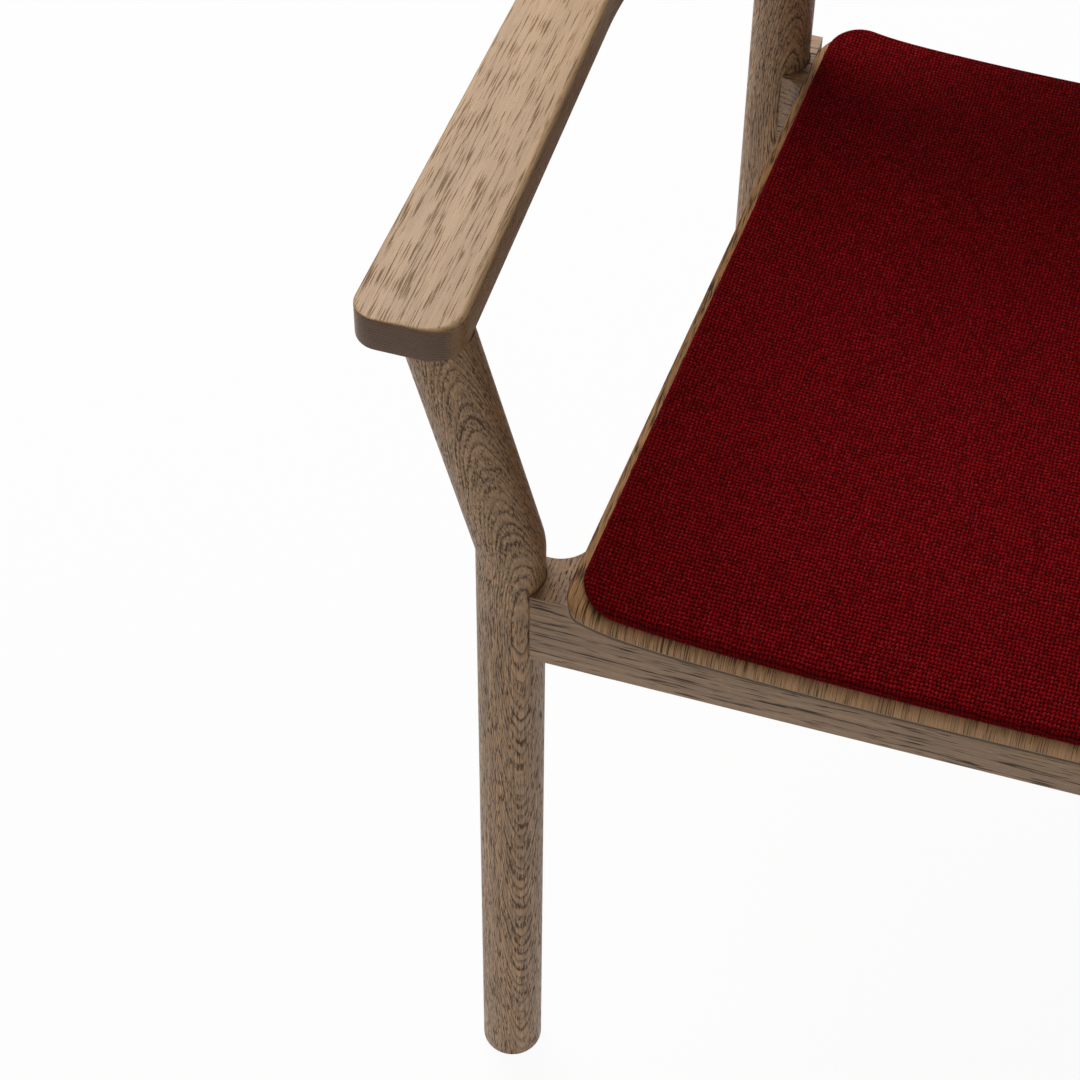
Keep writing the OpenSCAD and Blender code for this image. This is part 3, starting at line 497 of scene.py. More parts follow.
def bendStart(lean):
    return chair["bendZ"] - chair["bendR"] * math.tan(lean / 2)


# Middle of a leg and the turn of its axis at a length along it
def legPath(length, lean):
    start = bendStart(lean)
    if length <= start:
        return Vector((0, 0, length)), 0.0
    turn = min(lean, (length - start) / chair["bendR"])
    middle = Vector((chair["bendR"] * (1 - math.cos(turn)), 0,
                     start + chair["bendR"] * math.sin(turn)))
    rest = length - start - turn * chair["bendR"]
    return middle + rest * Vector((math.sin(turn), 0, math.cos(turn))), turn


# Rows of a leg as (length along it, radius), from the glide's hole up. The last three are cut
# where they meet the arm: the shoulder, the tenon's root and the tenon's end.
def legRows(lean):
    foot, edge, radius = legs["footZ"], legs["footRound"], chair["legR"]
    rows = [(foot + legs["glideDeep"] - 1, legs["glideHole"]), (foot, legs["glideHole"])]
    for i in range(legs["roundSteps"] + 1):
        turn = math.pi / 2 * i / legs["roundSteps"]
        rows.append((foot + edge * (1 - math.cos(turn)), radius - edge * (1 - math.sin(turn))))
    start = bendStart(lean)
    rows += [(length, radius) for length in legs["rows"] + (start,)]
    if lean:
        bend = chair["bendR"] * lean
        rows += [(start + bend * i / legs["bendSteps"], radius)
                 for i in range(1, legs["bendSteps"] + 1)]
        rows.append((start + bend + legs["aboveBend"], radius))
    return rows + [("shoulder", radius), ("shoulder", legs["tenonR"]), ("end", legs["tenonR"])]


# The wood is straight and the leg is bent, so towards the bend the rings begin to run out of the
# leg, and above it they point up.
def runOut(z):
    past = max(0, z - legs["runFrom"])
    if past < legs["runOver"]:
        return legs["runOut"] * past ** 2 / (2 * legs["runOver"])
    return legs["runOut"] * (past - legs["runOver"] / 2)


# `cutAt` is the place of the leg in the board that it was cut from
def makeLeg(name, node, x, y, lean, material, cutAt):
    side = math.copysign(1, x)
    facing = math.radians(legs["facing"])
    count = legs["sides"]
    points, extra = [], []
    rows = legRows(lean)
    for row, r in rows:
        length = legs["nearTop"] if isinstance(row, str) else row
        middle, turn = legPath(length, lean)
        outward = Vector((math.cos(turn), 0, -math.sin(turn)))
        axis = Vector((math.sin(turn), 0, math.cos(turn)))
        for k in range(count):
            angle = 2 * math.pi * k / count
            p = middle + r * (math.cos(angle) * outward + math.sin(angle) * Vector((0, 1, 0)))
            run = 0
            if row == "shoulder":
                run = (chair["armZ"] - p.z) / axis.z
            elif row == "end":
                run = (chair["armZ"] - middle.z) / axis.z + legs["tenonL"]
            p += axis * run
            points.append((x + side * p.x, y + p.y, p.z))
            extra.append((r * math.sin(angle - facing),
                          r * math.cos(angle - facing) - runOut(p.z), length + run + cutAt))
    faces = ringFaces(len(rows), count)
    if side < 0:
        faces = [tuple(reversed(f)) for f in faces]
    leg = makePiece(name, points, faces, [material], "grain", extra)
    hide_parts(node)


rearY = frontY + chair["legDepth"]
makeLeg("turned_leg_front_left", "front_leg_left", -chair["frontX"], frontY, splay, legWood, 0)
makeLeg("turned_leg_front_right", "front_leg_right", chair["frontX"], frontY, splay, legWood, 137)
makeLeg("turned_leg_rear_left", "rear_leg_left", -chair["rearX"], rearY, 0, rearLegWood, 41)
makeLeg("turned_leg_rear_right", "rear_leg_right", chair["rearX"], rearY, 0, rearLegWood, 296)
print("legs made")


# Arms and bow

arms = {
    "outerCorner": 13, "innerCorner": 17, "cornerSteps": 12, "bowSteps": 40,
    "innerRound": 3.2, "outerRound": 1.2, "lowRound": 1.2, "softWithin": 0.45, "softOver": 12,
    "grainLean": 1.6,  # how far the fibres lean across the arm, in degrees
    "bowCutAt": 300,
}
armOak = dict(oiledOak, late="#ae8a61", earlyColour="#957149", streakColour="#9a7750",
              rayColour="#b6946b", poreColour="#4a3322", soak="#8e7b6b", lies=(0, 1, 0),
              heart=(-15.0, -110.0), tilt=0.004, ring=1.6, wander=1.8, poreCell=(0.6, 0.6, 20),
              poreFew=0.38, poreMany=0.47, threads=0.35, poreDepth=0.62,
              fibre=(0.8, 1.12))
armWood = makeOak("sawn oak, oiled", armOak)
bowWood = makeOak("sawn oak, oiled, from another board",
                  dict(armOak, shift=(40.0, 11.0, 130.0), lies=(1, 0, 0)))


def armOutline():
    corner = (bowInR + chair["armW"], armFrontY)
    reach = math.dist(corner, (0, bowY))
    lineAngle = math.degrees(math.atan2(armFrontY - bowY, corner[0]) + math.acos(bowOutR / reach))
    outer = arcPoints(0, bowY, bowOutR, lineAngle, chair["bowJoint"], arms["bowSteps"])
    inner = arcPoints(0, bowY, bowInR, chair["bowJoint"], 0, arms["bowSteps"])
    corners = [(bowInR, armFrontY), corner] + outer + inner
    radii = [arms["innerCorner"], arms["outerCorner"]] + [0] * (len(outer) + len(inner))
    return roundCorners(corners, radii, arms["cornerSteps"])


# Edge rounding at each point of the outline: softer on the sitter's side
def armEdge(outline):
    edges = []
    for x, y in outline:
        r = math.hypot(x, max(0, y - bowY))
        soft = (bowInR + chair["armW"] * arms["softWithin"] - r) / arms["softOver"]
        edges.append(arms["outerRound"]
                     + (arms["innerRound"] - arms["outerRound"]) * min(1, max(0, soft)))
    return edges


def makeArm(name, node, side):
    outline = armOutline() if side > 0 else mirrored(armOutline())
    edges = armEdge([(abs(x), y) for x, y in outline])
    rings = boardRings(chair["armZ"], chair["armZ"] + chair["armT"], arms["lowRound"], edges)
    points, faces = ringSolid(outline, rings, asDrawn)
    centre = bowInR + chair["armW"] / 2
    lean = math.radians(arms["grainLean"])
    extra = []
    for x, y, z in points:
        across, along = abs(x) - centre, y - armFrontY
        extra.append((-across * math.cos(lean) - along * math.sin(lean), z - chair["armZ"],
                      along * math.cos(lean) - across * math.sin(lean)))
    arm = makePiece(name, points, faces, [armWood], "grain", extra)
    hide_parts(node)


makeArm("flat_arm_left", "arm_left", -1)
makeArm("flat_arm_right", "arm_right", 1)

bowEnd = 180 - chair["bowJoint"]
bowOutline = (arcPoints(0, bowY, bowOutR, chair["bowJoint"], bowEnd, arms["bowSteps"])
              + arcPoints(0, bowY, bowInR, bowEnd, chair["bowJoint"], arms["bowSteps"]))
bowRings = boardRings(chair["armZ"], chair["armZ"] + chair["armT"], arms["lowRound"],
                      arms["outerRound"])
bowPoints, bowFaces = ringSolid(bowOutline, bowRings, asDrawn)
bowGrain = [(y - bowY - bowInR, z - chair["armZ"], x + arms["bowCutAt"]) for x, y, z in bowPoints]
bow = makePiece("bow_behind", bowPoints, bowFaces, [bowWood], "grain", bowGrain)
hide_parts("back_bow")
print("arms made")


# Seat shell: dished in the middle, flat where it lies on the frame, rolled down over the front
# rail, and thinned there from below by a rounded lens

shell = {
    "edgeIn": 30.3, "taper": 3.2, "front": -13, "back": 451, "thick": 8.5, "edgeT": 2,
    "frontCorner": 28, "frontTurn": 2, "backCorner": 29, "dish": 11, "hollow": 3.5,
    "lipDrop": 6.3, "lipRun": 73, "rollRun": 8, "lensR": 18, "lensRun": 38, "leastT": 0.8,
    "wideRise": (0.6, 2.6), "edgeRise": (0.4, 16),  # the dish's rise to its sides: share, power
    "cols": 96, "rows": 70, "lensRows": 16, "flatFrom": 40,
    "edgeShare": 8,  # power by which the room round the shell's bed grows towards its sides
    "within": 0.001, "sharp": 45,
}
shellOak = dict(oiledOak, late="#d39e69", earlyColour="#a07444", streakColour="#a87e54",
                rayColour="#c89e70", lies=(0, 0, 0), heart=(0.0, -400.0), tilt=0.0, ring=1.6,
                bandDepth=0.5, wander=6.0, poreCell=(0.6, 0.6, 14), poreFew=0.44,
                poreMany=0.54, threads=0.3, poreDepth=0.9, fibre=(0.66, 1.2))
seatVeneer = makeOak("pressed oak veneer, oiled", shellOak)


# A value held between 0 and 1
def unit(v):
    return max(0, min(1, v))


# How much narrower a side with a corner of radius r is, e past the corner's start
def cornerLoss(e, r):
    return 0 if e <= 0 else r - math.sqrt(max(0, r * r - e * e))


# Half the seat's width at a depth, and half the shell's with its corners
def seatHalf(d):
    return chair["frontX"] - shell["edgeIn"] - d * math.tan(math.radians(shell["taper"]))


def shellHalf(d):
    return (seatHalf(d) - cornerLoss(shell["frontTurn"] - d, shell["frontCorner"])
            - cornerLoss(d - (shell["back"] - shell["backCorner"]), shell["backCorner"]))


# Height of the seat's middle line
def midZ(d):
    lipEnd = shell["front"] + shell["lipRun"]
    run = unit((d - lipEnd) / (shell["back"] - lipEnd))
    lip = unit(1 - (d - shell["front"]) / shell["lipRun"])
    return (chair["seatZ"] - shell["dish"] - shell["hollow"] * math.sin(math.pi * run) ** 2
            - shell["lipDrop"] * lip ** 2)


# The sitting surface, before the front edge is rolled over
def dishZ(x, d):
    t = min(1, abs(x) / shellHalf(d))
    middle = midZ(d)
    rise = sum(share * t ** power for share, power in (shell["wideRise"], shell["edgeRise"]))
    return middle + (chair["seatZ"] - middle) * rise


# The shell's underside
def underZ(x, d):
    r = shell["lensR"] * unit(1 - (d - shell["front"]) / shell["lensRun"])
    u = abs(x) - shellHalf(d) + r
    lens = chair["seatZ"] - math.sqrt(max(0, r * r - u * u)) if r > 0 and u > 0 else 0
    return min(dishZ(x, d) - shell["leastT"], max(dishZ(x, d) - shell["thick"], lens))


# The shell's top, with its front edge rolled over
def topZ(x, d):
    full = dishZ(x, d)
    drop = max(0, full - underZ(x, d) - shell["edgeT"])
    e = unit((d - shell["front"]) / shell["rollRun"])
    return full - drop * (1 - math.sqrt(1 - (1 - e) ** 2))


# Depths of the shell's rows: close together on the front roll and at the back corners
def shellDepths():
    rollEnd, cornerStart = shell["front"] + shell["rollRun"], shell["back"] - shell["backCorner"]
    flatFrom, lensRows, rows = shell["flatFrom"], shell["lensRows"], shell["rows"]
    roll = [shell["front"] + shell["rollRun"] * (1 - math.cos(math.radians(angle)))
            for angle in range(0, 90, 8)]
    lens = [rollEnd + (flatFrom - rollEnd) * i / lensRows for i in range(lensRows)]
    flat = [flatFrom + (cornerStart - flatFrom) * i / rows for i in range(rows + 1)]
    corner = [shell["back"] - shell["backCorner"] * (1 - math.sin(math.radians(angle * 0.96)))
              for angle in range(6, 91, 6)]  # the factor stops just short of the corner's end
    return roll + lens + flat + corner


halfCols = shell["cols"] // 2
shellShares = [math.sin(math.pi / 2 * i / halfCols) for i in range(-halfCols, halfCols + 1)]


def withinShell(d):
    return min(max(d, shell["front"]), shell["back"] - shell["within"])


def shellX(t, half, grow):
    return t * half + math.copysign(grow * abs(t) ** shell["edgeShare"], t)


# A closed slab between two height functions over the shell's plan, drawn `grow` larger. Its kinds
# are 0 for a face of the top or underside, and 1 for one of the edge.
def slabMesh(depths, lowZ, highZ, grow=0):
    rows, cols = len(depths), len(shellShares)
    count = rows * cols
    points, faces, kinds = [], [], []
    for zOf in (lowZ, highZ):
        for d in depths:
            half = shellHalf(withinShell(d))
            points += [(shellX(t, half, grow), frontY + d, zOf(t * half, d)) for t in shellShares]
    for i in range(rows - 1):
        for j in range(cols - 1):
            a = i * cols + j
            faces.append((a, a + cols, a + cols + 1, a + 1))
            faces.append((count + a, count + a + 1, count + a + cols + 1, count + a + cols))
            kinds += [0, 0]
    ends = [(j, j + 1, False) for j in range(cols - 1)]
    ends += [((rows - 1) * cols + j, (rows - 1) * cols + j + 1, True) for j in range(cols - 1)]
    sides = [(i * cols, (i + 1) * cols, True) for i in range(rows - 1)]
    sides += [(i * cols + cols - 1, (i + 1) * cols + cols - 1, False) for i in range(rows - 1)]
    for a, b, flip in ends + sides:
        side = (a, b, count + b, count + a)
        faces.append(tuple(reversed(side)) if flip else side)
        kinds.append(1)
    return points, faces, kinds, count


shellPoints, shellFaces, shellKinds, shellCount = slabMesh(shellDepths(), underZ, topZ)
shellGrain = [(x, 0 if k >= shellCount else z - shellPoints[k + shellCount][2], y)
              for k, (x, y, z) in enumerate(shellPoints)]
seatShell = makePiece("pressed_seat_shell", shellPoints, shellFaces, [seatVeneer, plyEdge],
                      "grain", shellGrain, shellKinds, shell["sharp"])
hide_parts("seat_shell")
print("seat shell made")


# Rails: each is a board in plan, coped to the legs, with a bed cut in it for the seat shell

rails = {
    "frontAhead": 13, "frontT": 28, "rearAhead": 18, "rearT": 41, "sideT": 22, "inset": 2,
    "frontFillet": 18.5, "rearFillet": 18, "rearCope": 6, "rearBackEdge": 2.0, "knuckle": 2,
    "copeEdge": 1.0, "copeSpare": 4, "frontCopeSteps": 40, "rearCopeSteps": 24,
    "filletSteps": 16, "leastStep": 0.3,
    "cornerSteps": 6, "edge": 0.6, "sideEdge": 0.4, "edgeSteps": 3, "sharp": 30,
    "bedAhead": 5, "bedBehind": 10, "bedAbove": 20, "bedInside": 0.9999,
    "topWithin": 0.05,  # a face this near the frame's height belongs to the rail's top
    "wingStretch": (1.4, 5), "wingDeep": 9,
}
railOak = dict(oiledOak, late="#ae8a66", earlyColour="#7c5e44", streakColour="#8a6d52",
               poreColour="#2a1b10", lies=(1, 0, 0), heart=(-30.0, -60.0), tilt=0.01, ring=3.4,
               poreCell=(1, 1, 30), poreFew=0.36, poreMany=0.55, threads=0.65,
               poreDepth=0.95, fibre=(0.62, 1.2))
railWood = makeOak("milled oak, oiled", railOak)
# The tops of the front rail's wings: the rail's oak in darker colours, which is painted shade
wingShadeWood = makeOak("planed oak, oiled, with painted shade", dict(railOak, late="#a87a4c", earlyColour="#6b482c",
                                                   streakColour="#83603f"))
sideWood = makeOak("milled oak, oiled, from another board",
                   dict(railOak, shift=(23.0, 41.0, 90.0), lies=(0, 1, 0)))


# The side rails' outer face, or a line that lies `inside` it
def sideX(d, inside):
    return seatHalf(d) - rails["inset"] - inside


# The hollow that fits a leg, between two points of it; `spare` leaves room for rounded corners
def copeArc(leg, first, last, steps, spare=0):
    start, end = (math.degrees(math.atan2(p[1] - leg[1], p[0] - leg[0])) % 360
                  for p in (first, last))
    arc = arcPoints(leg[0], leg[1], chair["legR"] + chair["gap"], start, end, steps)
    middle = [p for p in arc[1:-1]
              if math.dist(p, arc[0]) > spare and math.dist(p, arc[-1]) > spare]
    return [arc[0]] + middle + [arc[-1]]


# Half of the front rail's plan, from its middle at the front round to its middle at the back
def frontHalf():
    r, x = chair["legR"] + chair["gap"], chair["frontX"]
    face, back = -rails["frontAhead"], rails["frontT"] - rails["frontAhead"]
    cope = copeArc((x, 0), (x - math.sqrt(r * r - face * face), face),
                   (x - math.sqrt(r * r - back * back), back), rails["frontCopeSteps"],
                   rails["copeSpare"])
    turn = back + rails["frontFillet"]
    turnX = sideX(turn, -rails["frontFillet"])
    knuckle = turn + rails["knuckle"]
    hollow = arcPoints(turnX, turn, rails["frontFillet"], -90, -180, rails["filletSteps"])
    outline = ([(0, face)] + cope + hollow
               + [(sideX(knuckle, 0), knuckle), (sideX(knuckle, rails["sideT"]), knuckle),
                  (sideX(back, rails["sideT"]), back), (0, back)])
    radii = [0] * len(outline)
    radii[1] = radii[len(cope)] = rails["copeEdge"]
    return outline, radii


def rearHalf():
    r = chair["legR"] + chair["gap"]
    face = chair["legDepth"] - rails["rearAhead"]
    back = face + rails["rearT"]
    x = chair["rearX"] - rails["rearCope"]
    run = math.sqrt(r * r - rails["rearCope"] ** 2)
    cope = copeArc((chair["rearX"], chair["legDepth"]), (x, chair["legDepth"] + run),
                   (x, chair["legDepth"] - run), rails["rearCopeSteps"])
    turn = face - rails["rearFillet"]
    turnX = sideX(turn, -rails["rearFillet"])
    knuckle = turn - rails["knuckle"]
    whole = arcPoints(turnX, turn, rails["rearFillet"], 90, 180, rails["filletSteps"])
    hollow = [(x, turn + math.sqrt(rails["rearFillet"] ** 2 - (x - turnX) ** 2))]
    hollow += [p for p in whole if p[0] < x - rails["leastStep"]]
    outline = ([(0, back), (x, back)] + cope + hollow
               + [(sideX(knuckle, 0), knuckle), (sideX(knuckle, rails["sideT"]), knuckle),
                  (sideX(face, rails["sideT"]), face), (0, face)])
    return outline, [0, rails["rearBackEdge"]] + [0] * (len(outline) - 2)


def bedZ(x, d):
    return underZ(x * rails["bedInside"], withinShell(d)) - chair["gap"]


def aboveSeat(x, d):
    return chair["seatZ"] + rails["bedAbove"]


# The shell's room in the frame; behind the shell's back corners its sides run straight
def bedCutter():
    cornerStart = shell["back"] - shell["backCorner"]
    half = shellHalf(cornerStart)
    depths = ([shell["front"] - rails["bedAhead"]] + shellDepths()
              + [shell["back"] + rails["bedBehind"]])
    points, faces, _, count = slabMesh(depths, bedZ, aboveSeat, chair["gap"])
    cols = len(shellShares)
    for k, (_, y, z) in enumerate(points):
        if depths[k % count // cols] > cornerStart:
            points[k] = (shellX(shellShares[k % cols], half, chair["gap"]), y, z)
    mesh = bpy.data.meshes.new("bed cutter")
    mesh.from_pydata([[c * mm for c in p] for p in points], [], faces)
    cutter = bpy.data.objects.new("bed cutter", mesh)
    bpy.context.collection.objects.link(cutter)
    return cutter


# The cut is applied to the mesh, so that no modifier stays on the piece
def cutBed(piece, cutter):
    cut = piece.modifiers.new("bed", "BOOLEAN")
    cut.object = cutter
    cut.operation = "DIFFERENCE"
    cut.solver = "EXACT"
    depsgraph = bpy.context.evaluated_depsgraph_get()
    mesh = bpy.data.meshes.new_from_object(piece.evaluated_get(depsgraph))
    piece.modifiers.clear()
    old = piece.data
    piece.data = mesh
    bpy.data.meshes.remove(old)
    mesh.set_sharp_from_angle(angle=math.radians(rails["sharp"]))


def makeRail(name, node, outline, material, cutter, grainOf, edge=rails["edge"],
             shadedTopMaterial=None):
    low = chair["seatZ"] - chair["railH"]
    outline = [(x, frontY + d) for x, d in outline]
    rings = boardRings(low, chair["seatZ"], edge, edge, rails["edgeSteps"])
    points, faces = ringSolid(outline, rings, asDrawn)
    rail = makePiece(name, points, faces, [material])
    cutBed(rail, cutter)
    places = [vertex.co / mm for vertex in rail.data.vertices]
    writeExtra(rail.data, "grain", [grainOf(p.x, p.y - frontY, p.z - low) for p in places])
    # the top faces get the darker oak: painted shade
    if shadedTopMaterial:
        rail.data.materials.append(shadedTopMaterial)
        topFrom = (chair["seatZ"] - rails["topWithin"]) * mm
        for face in rail.data.polygons:
            if face.normal.z > 0.99 and face.center.z > topFrom:
                face.material_index = len(rail.data.materials) - 1
    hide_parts(node)


def wholePlan(half, radii):
    half, radii = half[1:-1], radii[1:-1]
    return roundCorners(half + mirrored(half), radii + radii[::-1], rails["cornerSteps"])


# The front rail's fibres run along it, but on the wings of its top the figure runs front to back
def frontGrain(x, d, z):
    if z > chair["railH"] - rails["topWithin"]:
        return (rails["wingStretch"][0] * x, rails["wingDeep"], rails["wingStretch"][1] * d)
    return (z, -d, x)


# The other rails' fibres run along them; the numbers are where in its board each was cut
def rearGrain(x, d, z):
    return (z + 70, d - 400, x + 35)


def rightGrain(x, d, z):
    return (z, x - 200, d)


def leftGrain(x, d, z):
    return (z + 130, -x - 200, d + 77)


bed = bedCutter()
makeRail("front_rail_milled", "front_rail", wholePlan(*frontHalf()), railWood, bed, frontGrain,
         shadedTopMaterial=wingShadeWood)
makeRail("rear_rail_milled", "rear_rail", wholePlan(*rearHalf())[::-1], railWood, bed, rearGrain)
sideStart = rails["frontT"] - rails["frontAhead"] + rails["frontFillet"] + rails["knuckle"]
sideEnd = chair["legDepth"] - rails["rearAhead"] - rails["rearFillet"] - rails["knuckle"]
sidePlan = [(sideX(sideStart, rails["sideT"]), sideStart), (sideX(sideStart, 0), sideStart),
            (sideX(sideEnd, 0), sideEnd), (sideX(sideEnd, rails["sideT"]), sideEnd)]
makeRail("side_rail_right_milled", "side_rail_right", sidePlan, sideWood, bed, rightGrain,
         rails["sideEdge"])
makeRail("side_rail_left_milled", "side_rail_left", mirrored(sidePlan), sideWood, bed, leftGrain,
         rails["sideEdge"])
bpy.data.objects.remove(bed)
print("rails made")


# Seat pad: wool over thin foam on a board, with rounded sides and a slight crown

pad = {
    "inset": 5, "front": -11, "back": 449, "frontR": 20, "backR": 24, "thick": 9.5, "crown": 1.5,
    "board": 3, "boardInset": 12, "arcSteps": 14, "sideSteps": 44, "fill": 0.6,
    "sharp": 60, "wave": (60, 0.35, 3.1),  # its unevenness: cell, depth and seed
}
# The rounded side of both pads: how far each level stands in, and its share of the height
padSide = {
    "footIn": 3, "foot": 1.2, "fullIn": 4.2, "power": 0.8, "fromTurn": -50, "steps": 12,
    "middle": 0.45, "above": 0.5, "below": 0.55, "shoulder": (6.5, 0.985), "topIn": (9, 14),
    "domeSteps": 12, "domeLast": 0.6, "waveFrom": 4, "waveOver": 4,
}
redWool = makeWool("plain-woven wool", {
    "warp": 2.0, "weft": 2.26,  # yarn spacing
    "wobble": 2.4, "wobbleCell": (9, 9, 9), "fuzzCell": (0.6, 0.6, 0.6),
    "fleckHighlightCell": (1.1, 1.3, 1.1),
    # the gap colour is painted shade in the weave's holes
    "yarn": "#500001", "light": "#840409", "gap": "#100000", "fibre": "#c0303c",
})


# A rounded four-sided loop from the centres of its corners
def loopWithSides(corners, radii, arcSteps, sideSteps):
    arcs = [arcPoints(c[0], c[1], r, -90 + 90 * k, 90 * k, arcSteps)
            for k, (c, r) in enumerate(zip(corners, radii))]
    loop = []
    for k, arc in enumerate(arcs):
        a, b = arc[-1], arcs[(k + 1) % len(arcs)][0]
        loop += arc
        loop += [(a[0] + (b[0] - a[0]) * i / sideSteps, a[1] + (b[1] - a[1]) * i / sideSteps)
                 for i in range(1, sideSteps)]
    return loop


def padOutline():
    frontR, backR = pad["frontR"], pad["backR"]
    front, back = pad["front"] + frontR, pad["back"] - backR
    frontX = seatHalf(front) - pad["inset"] - frontR
    backX = seatHalf(back) - pad["inset"] - backR
    return loopWithSides([(frontX, front), (backX, back), (-backX, back), (-frontX, front)],
                         [frontR, backR, backR, frontR], pad["arcSteps"], pad["sideSteps"])


# Rounded side of a pad as (inset, share, height) rings, from its foot to its top
def padRim(thick):
    foot, fullIn = padSide["foot"], padSide["fullIn"]
    rings = [(padSide["footIn"], 1, 0)]
    for i in range(padSide["steps"] + 1):
        degrees = padSide["fromTurn"] + (90 - padSide["fromTurn"]) * i / padSide["steps"]
        turn = math.radians(degrees)
        reach = padSide["above"] if turn > 0 else padSide["below"]
        rings.append((fullIn * (1 - math.cos(turn) ** padSide["power"]), 1,
                      foot + (thick - foot) * (padSide["middle"] + reach * math.sin(turn))))
    rings.append((padSide["shoulder"][0], 1, thick * padSide["shoulder"][1]))
    return rings + [(inset, 1, thick) for inset in padSide["topIn"]]


# The crowned top, in rings that shrink towards the middle
def padDome(thick, crown):
    shares = [1 - i / (padSide["domeSteps"] + padSide["domeLast"])
              for i in range(1, padSide["domeSteps"] + 1)]
    return [(padSide["topIn"][-1], share, thick + crown * (1 - share ** 2)) for share in shares]


# The cover's slow unevenness, which fades out towards the foot
def padWave(u, v, h, wave):
    cell, depth, seed = wave
    fade = min(1, max(0, h - padSide["waveFrom"]) / padSide["waveOver"])
    return noise.noise(Vector((u / cell, v / cell, seed))) * depth * fade


# Where each ring lies when the cover is spread out flat, so that the weave runs on down the rim
def spreadFlat(rings):
    flat = list(rings)
    for k in range(len(rings) - 2, -1, -1):
        (inset, share, height), (nextInset, nextShare, nextHeight) = rings[k], rings[k + 1]
        if share == nextShare == 1:
            run = math.hypot(nextInset - inset, nextHeight - height)
            flat[k] = (flat[k + 1][0] - run, 1, height)
    return flat


def makePad(name, node, outline, rings, place, middle, shape):
    points, faces = ringSolid(outline, rings, place, middle)
    cloth = ringSolid(outline, spreadFlat(rings), asDrawn, middle)[0]
    piece = makePiece(name, points, faces, [redWool], "cloth", cloth,
                      sharp=shape["sharp"])
    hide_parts(node)


def seatPlace(u, v, h):
    wave = padWave(u, v, h, pad["wave"])
    return (u, frontY + v, dishZ(u, v) + chair["gap"] + h + wave)


boardTop = pad["board"] + chair["gap"]
recess = pad["boardInset"] - chair["gap"]
padRings = [(recess, share, boardTop) for share in (0.25, 0.5, 0.75, 1)] + [(recess, 1, 0)]
padRings += padRim(pad["thick"]) + padDome(pad["thick"], pad["crown"])
makePad("seat_pad_wool", "seat_pad", padOutline(), padRings, seatPlace,
        (0, (pad["front"] + pad["back"]) / 2), pad)
print("seat pad made")


# Back: a pressed shell, curved both ways, that leans on the bow, and its own pad

back = {
    "lumbarR": 420, "thick": 8, "low": 562, "high": 750, "half": 190, "corner": 48, "edge": 1.2,
    "edgeSteps": 4, "flatIn": 7.2, "underShares": (0.3, 0.6, 0.85, 1),
    "faceShares": (1, 0.93, 0.85, 0.75, 0.6, 0.45, 0.3, 0.15), "arcSteps": 12, "sideSteps": 24,
    "sharp": 40,
}
backPad = {"inset": 7, "thick": 11, "wave": (55, 0.4, 8.3), "arcSteps": 14, "sideSteps": 36,
           "fill": 0.6, "sharp": 60}
lumbarX = bowInR - chair["gap"] + back["lumbarR"]
backMidZ = (back["low"] + back["high"]) / 2
armMidZ = chair["armZ"] + chair["armT"] / 2


# Puts a point of the back, x from the middle and z up, `proud` millimetres ahead of the shell
def backPlace(x, z, proud):
    outR = back["lumbarR"] + back["thick"] + proud
    r = lumbarX - math.sqrt(outR ** 2 - (z - armMidZ) ** 2)
    return (x, bowY + math.sqrt(r * r - x * x), z)


def backPadPlace(x, z, h):
    return backPlace(x, z, chair["gap"] + h + padWave(x, z, h, backPad["wave"]))


def backOutline(inset, arcSteps, sideSteps):
    corner = back["corner"]
    x, low, high = back["half"] - corner, back["low"] + corner, back["high"] - corner
    return loopWithSides([(x, low), (x, high), (-x, high), (-x, low)], [corner - inset] * 4,
                         arcSteps, sideSteps)


underRings = [(back["flatIn"], share, -back["thick"]) for share in back["underShares"]]
edgeRings = boardRings(-back["thick"], 0, back["edge"], back["edge"], back["edgeSteps"])
faceRings = [(back["flatIn"], share, 0) for share in back["faceShares"]]
backRings = underRings + edgeRings + faceRings
backLoop = backOutline(0, back["arcSteps"], back["sideSteps"])
backPoints, backFaces = ringSolid(backLoop, backRings, backPlace, (0, backMidZ))
backDepths = [h for _, _, h in backRings for _ in backLoop]
backGrain = [(x, h, z) for (x, y, z), h in zip(backPoints, backDepths)]
firstEdge = len(underRings)
edgeRows = range(firstEdge, firstEdge + 2 * back["edgeSteps"])
backKinds = [1 if k // len(backLoop) in edgeRows else 0 for k in range(len(backFaces))]
backShell = makePiece("pressed_back_shell", backPoints, backFaces, [seatVeneer, plyEdge],
                      "grain", backGrain, backKinds, back["sharp"])
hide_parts("back_shell")

backPadLoop = backOutline(backPad["inset"], backPad["arcSteps"], backPad["sideSteps"])
backPadRings = [(padSide["footIn"], share, 0) for share in (0.25, 0.5, 0.75)]
backPadRings += padRim(backPad["thick"]) + padDome(backPad["thick"], pad["crown"])
makePad("back_pad_wool", "back_pad", backPadLoop, backPadRings, backPadPlace, (0, backMidZ),
        backPad)
print("back made")


# Nodes that keep the shape they have in the part's source, and get their finish here. Their
# grain is given as cells in each metre: 60 is about 17 mm, 900 about 1.1 mm, 2500 is 0.4 mm.
dowelWood = makeRawWood("beech dowel", {"dark": "#a8845c", "light": "#d3b48a",
                                        "perMetre": (60, 900, 900)})
blockWood = makeRawWood("sawn beech", {"dark": "#9c7d58", "light": "#c9ab80",
                                       "perMetre": (60, 700, 700)})
boardWood = makeRawWood("birch plywood", {"dark": "#b3956a", "light": "#dcc49b",
                                          "perMetre": (50, 600, 600)})
plugWood = makeRawWood("oak plug, oiled", {"dark": "#5f4c3a", "light": "#9a7c5e",
                                           "perMetre": (900, 60, 900)})
screwSteel = makeZincSteel("zinc-plated steel", {"dark": "#8f9196", "light": "#c3c5c9",
                                                 "perMetre": 900})
glideNylon = makeNylon("moulded nylon", {"dark": "#1f1e1d", "light": "#35332f",
                                         "perMetre": 2500})
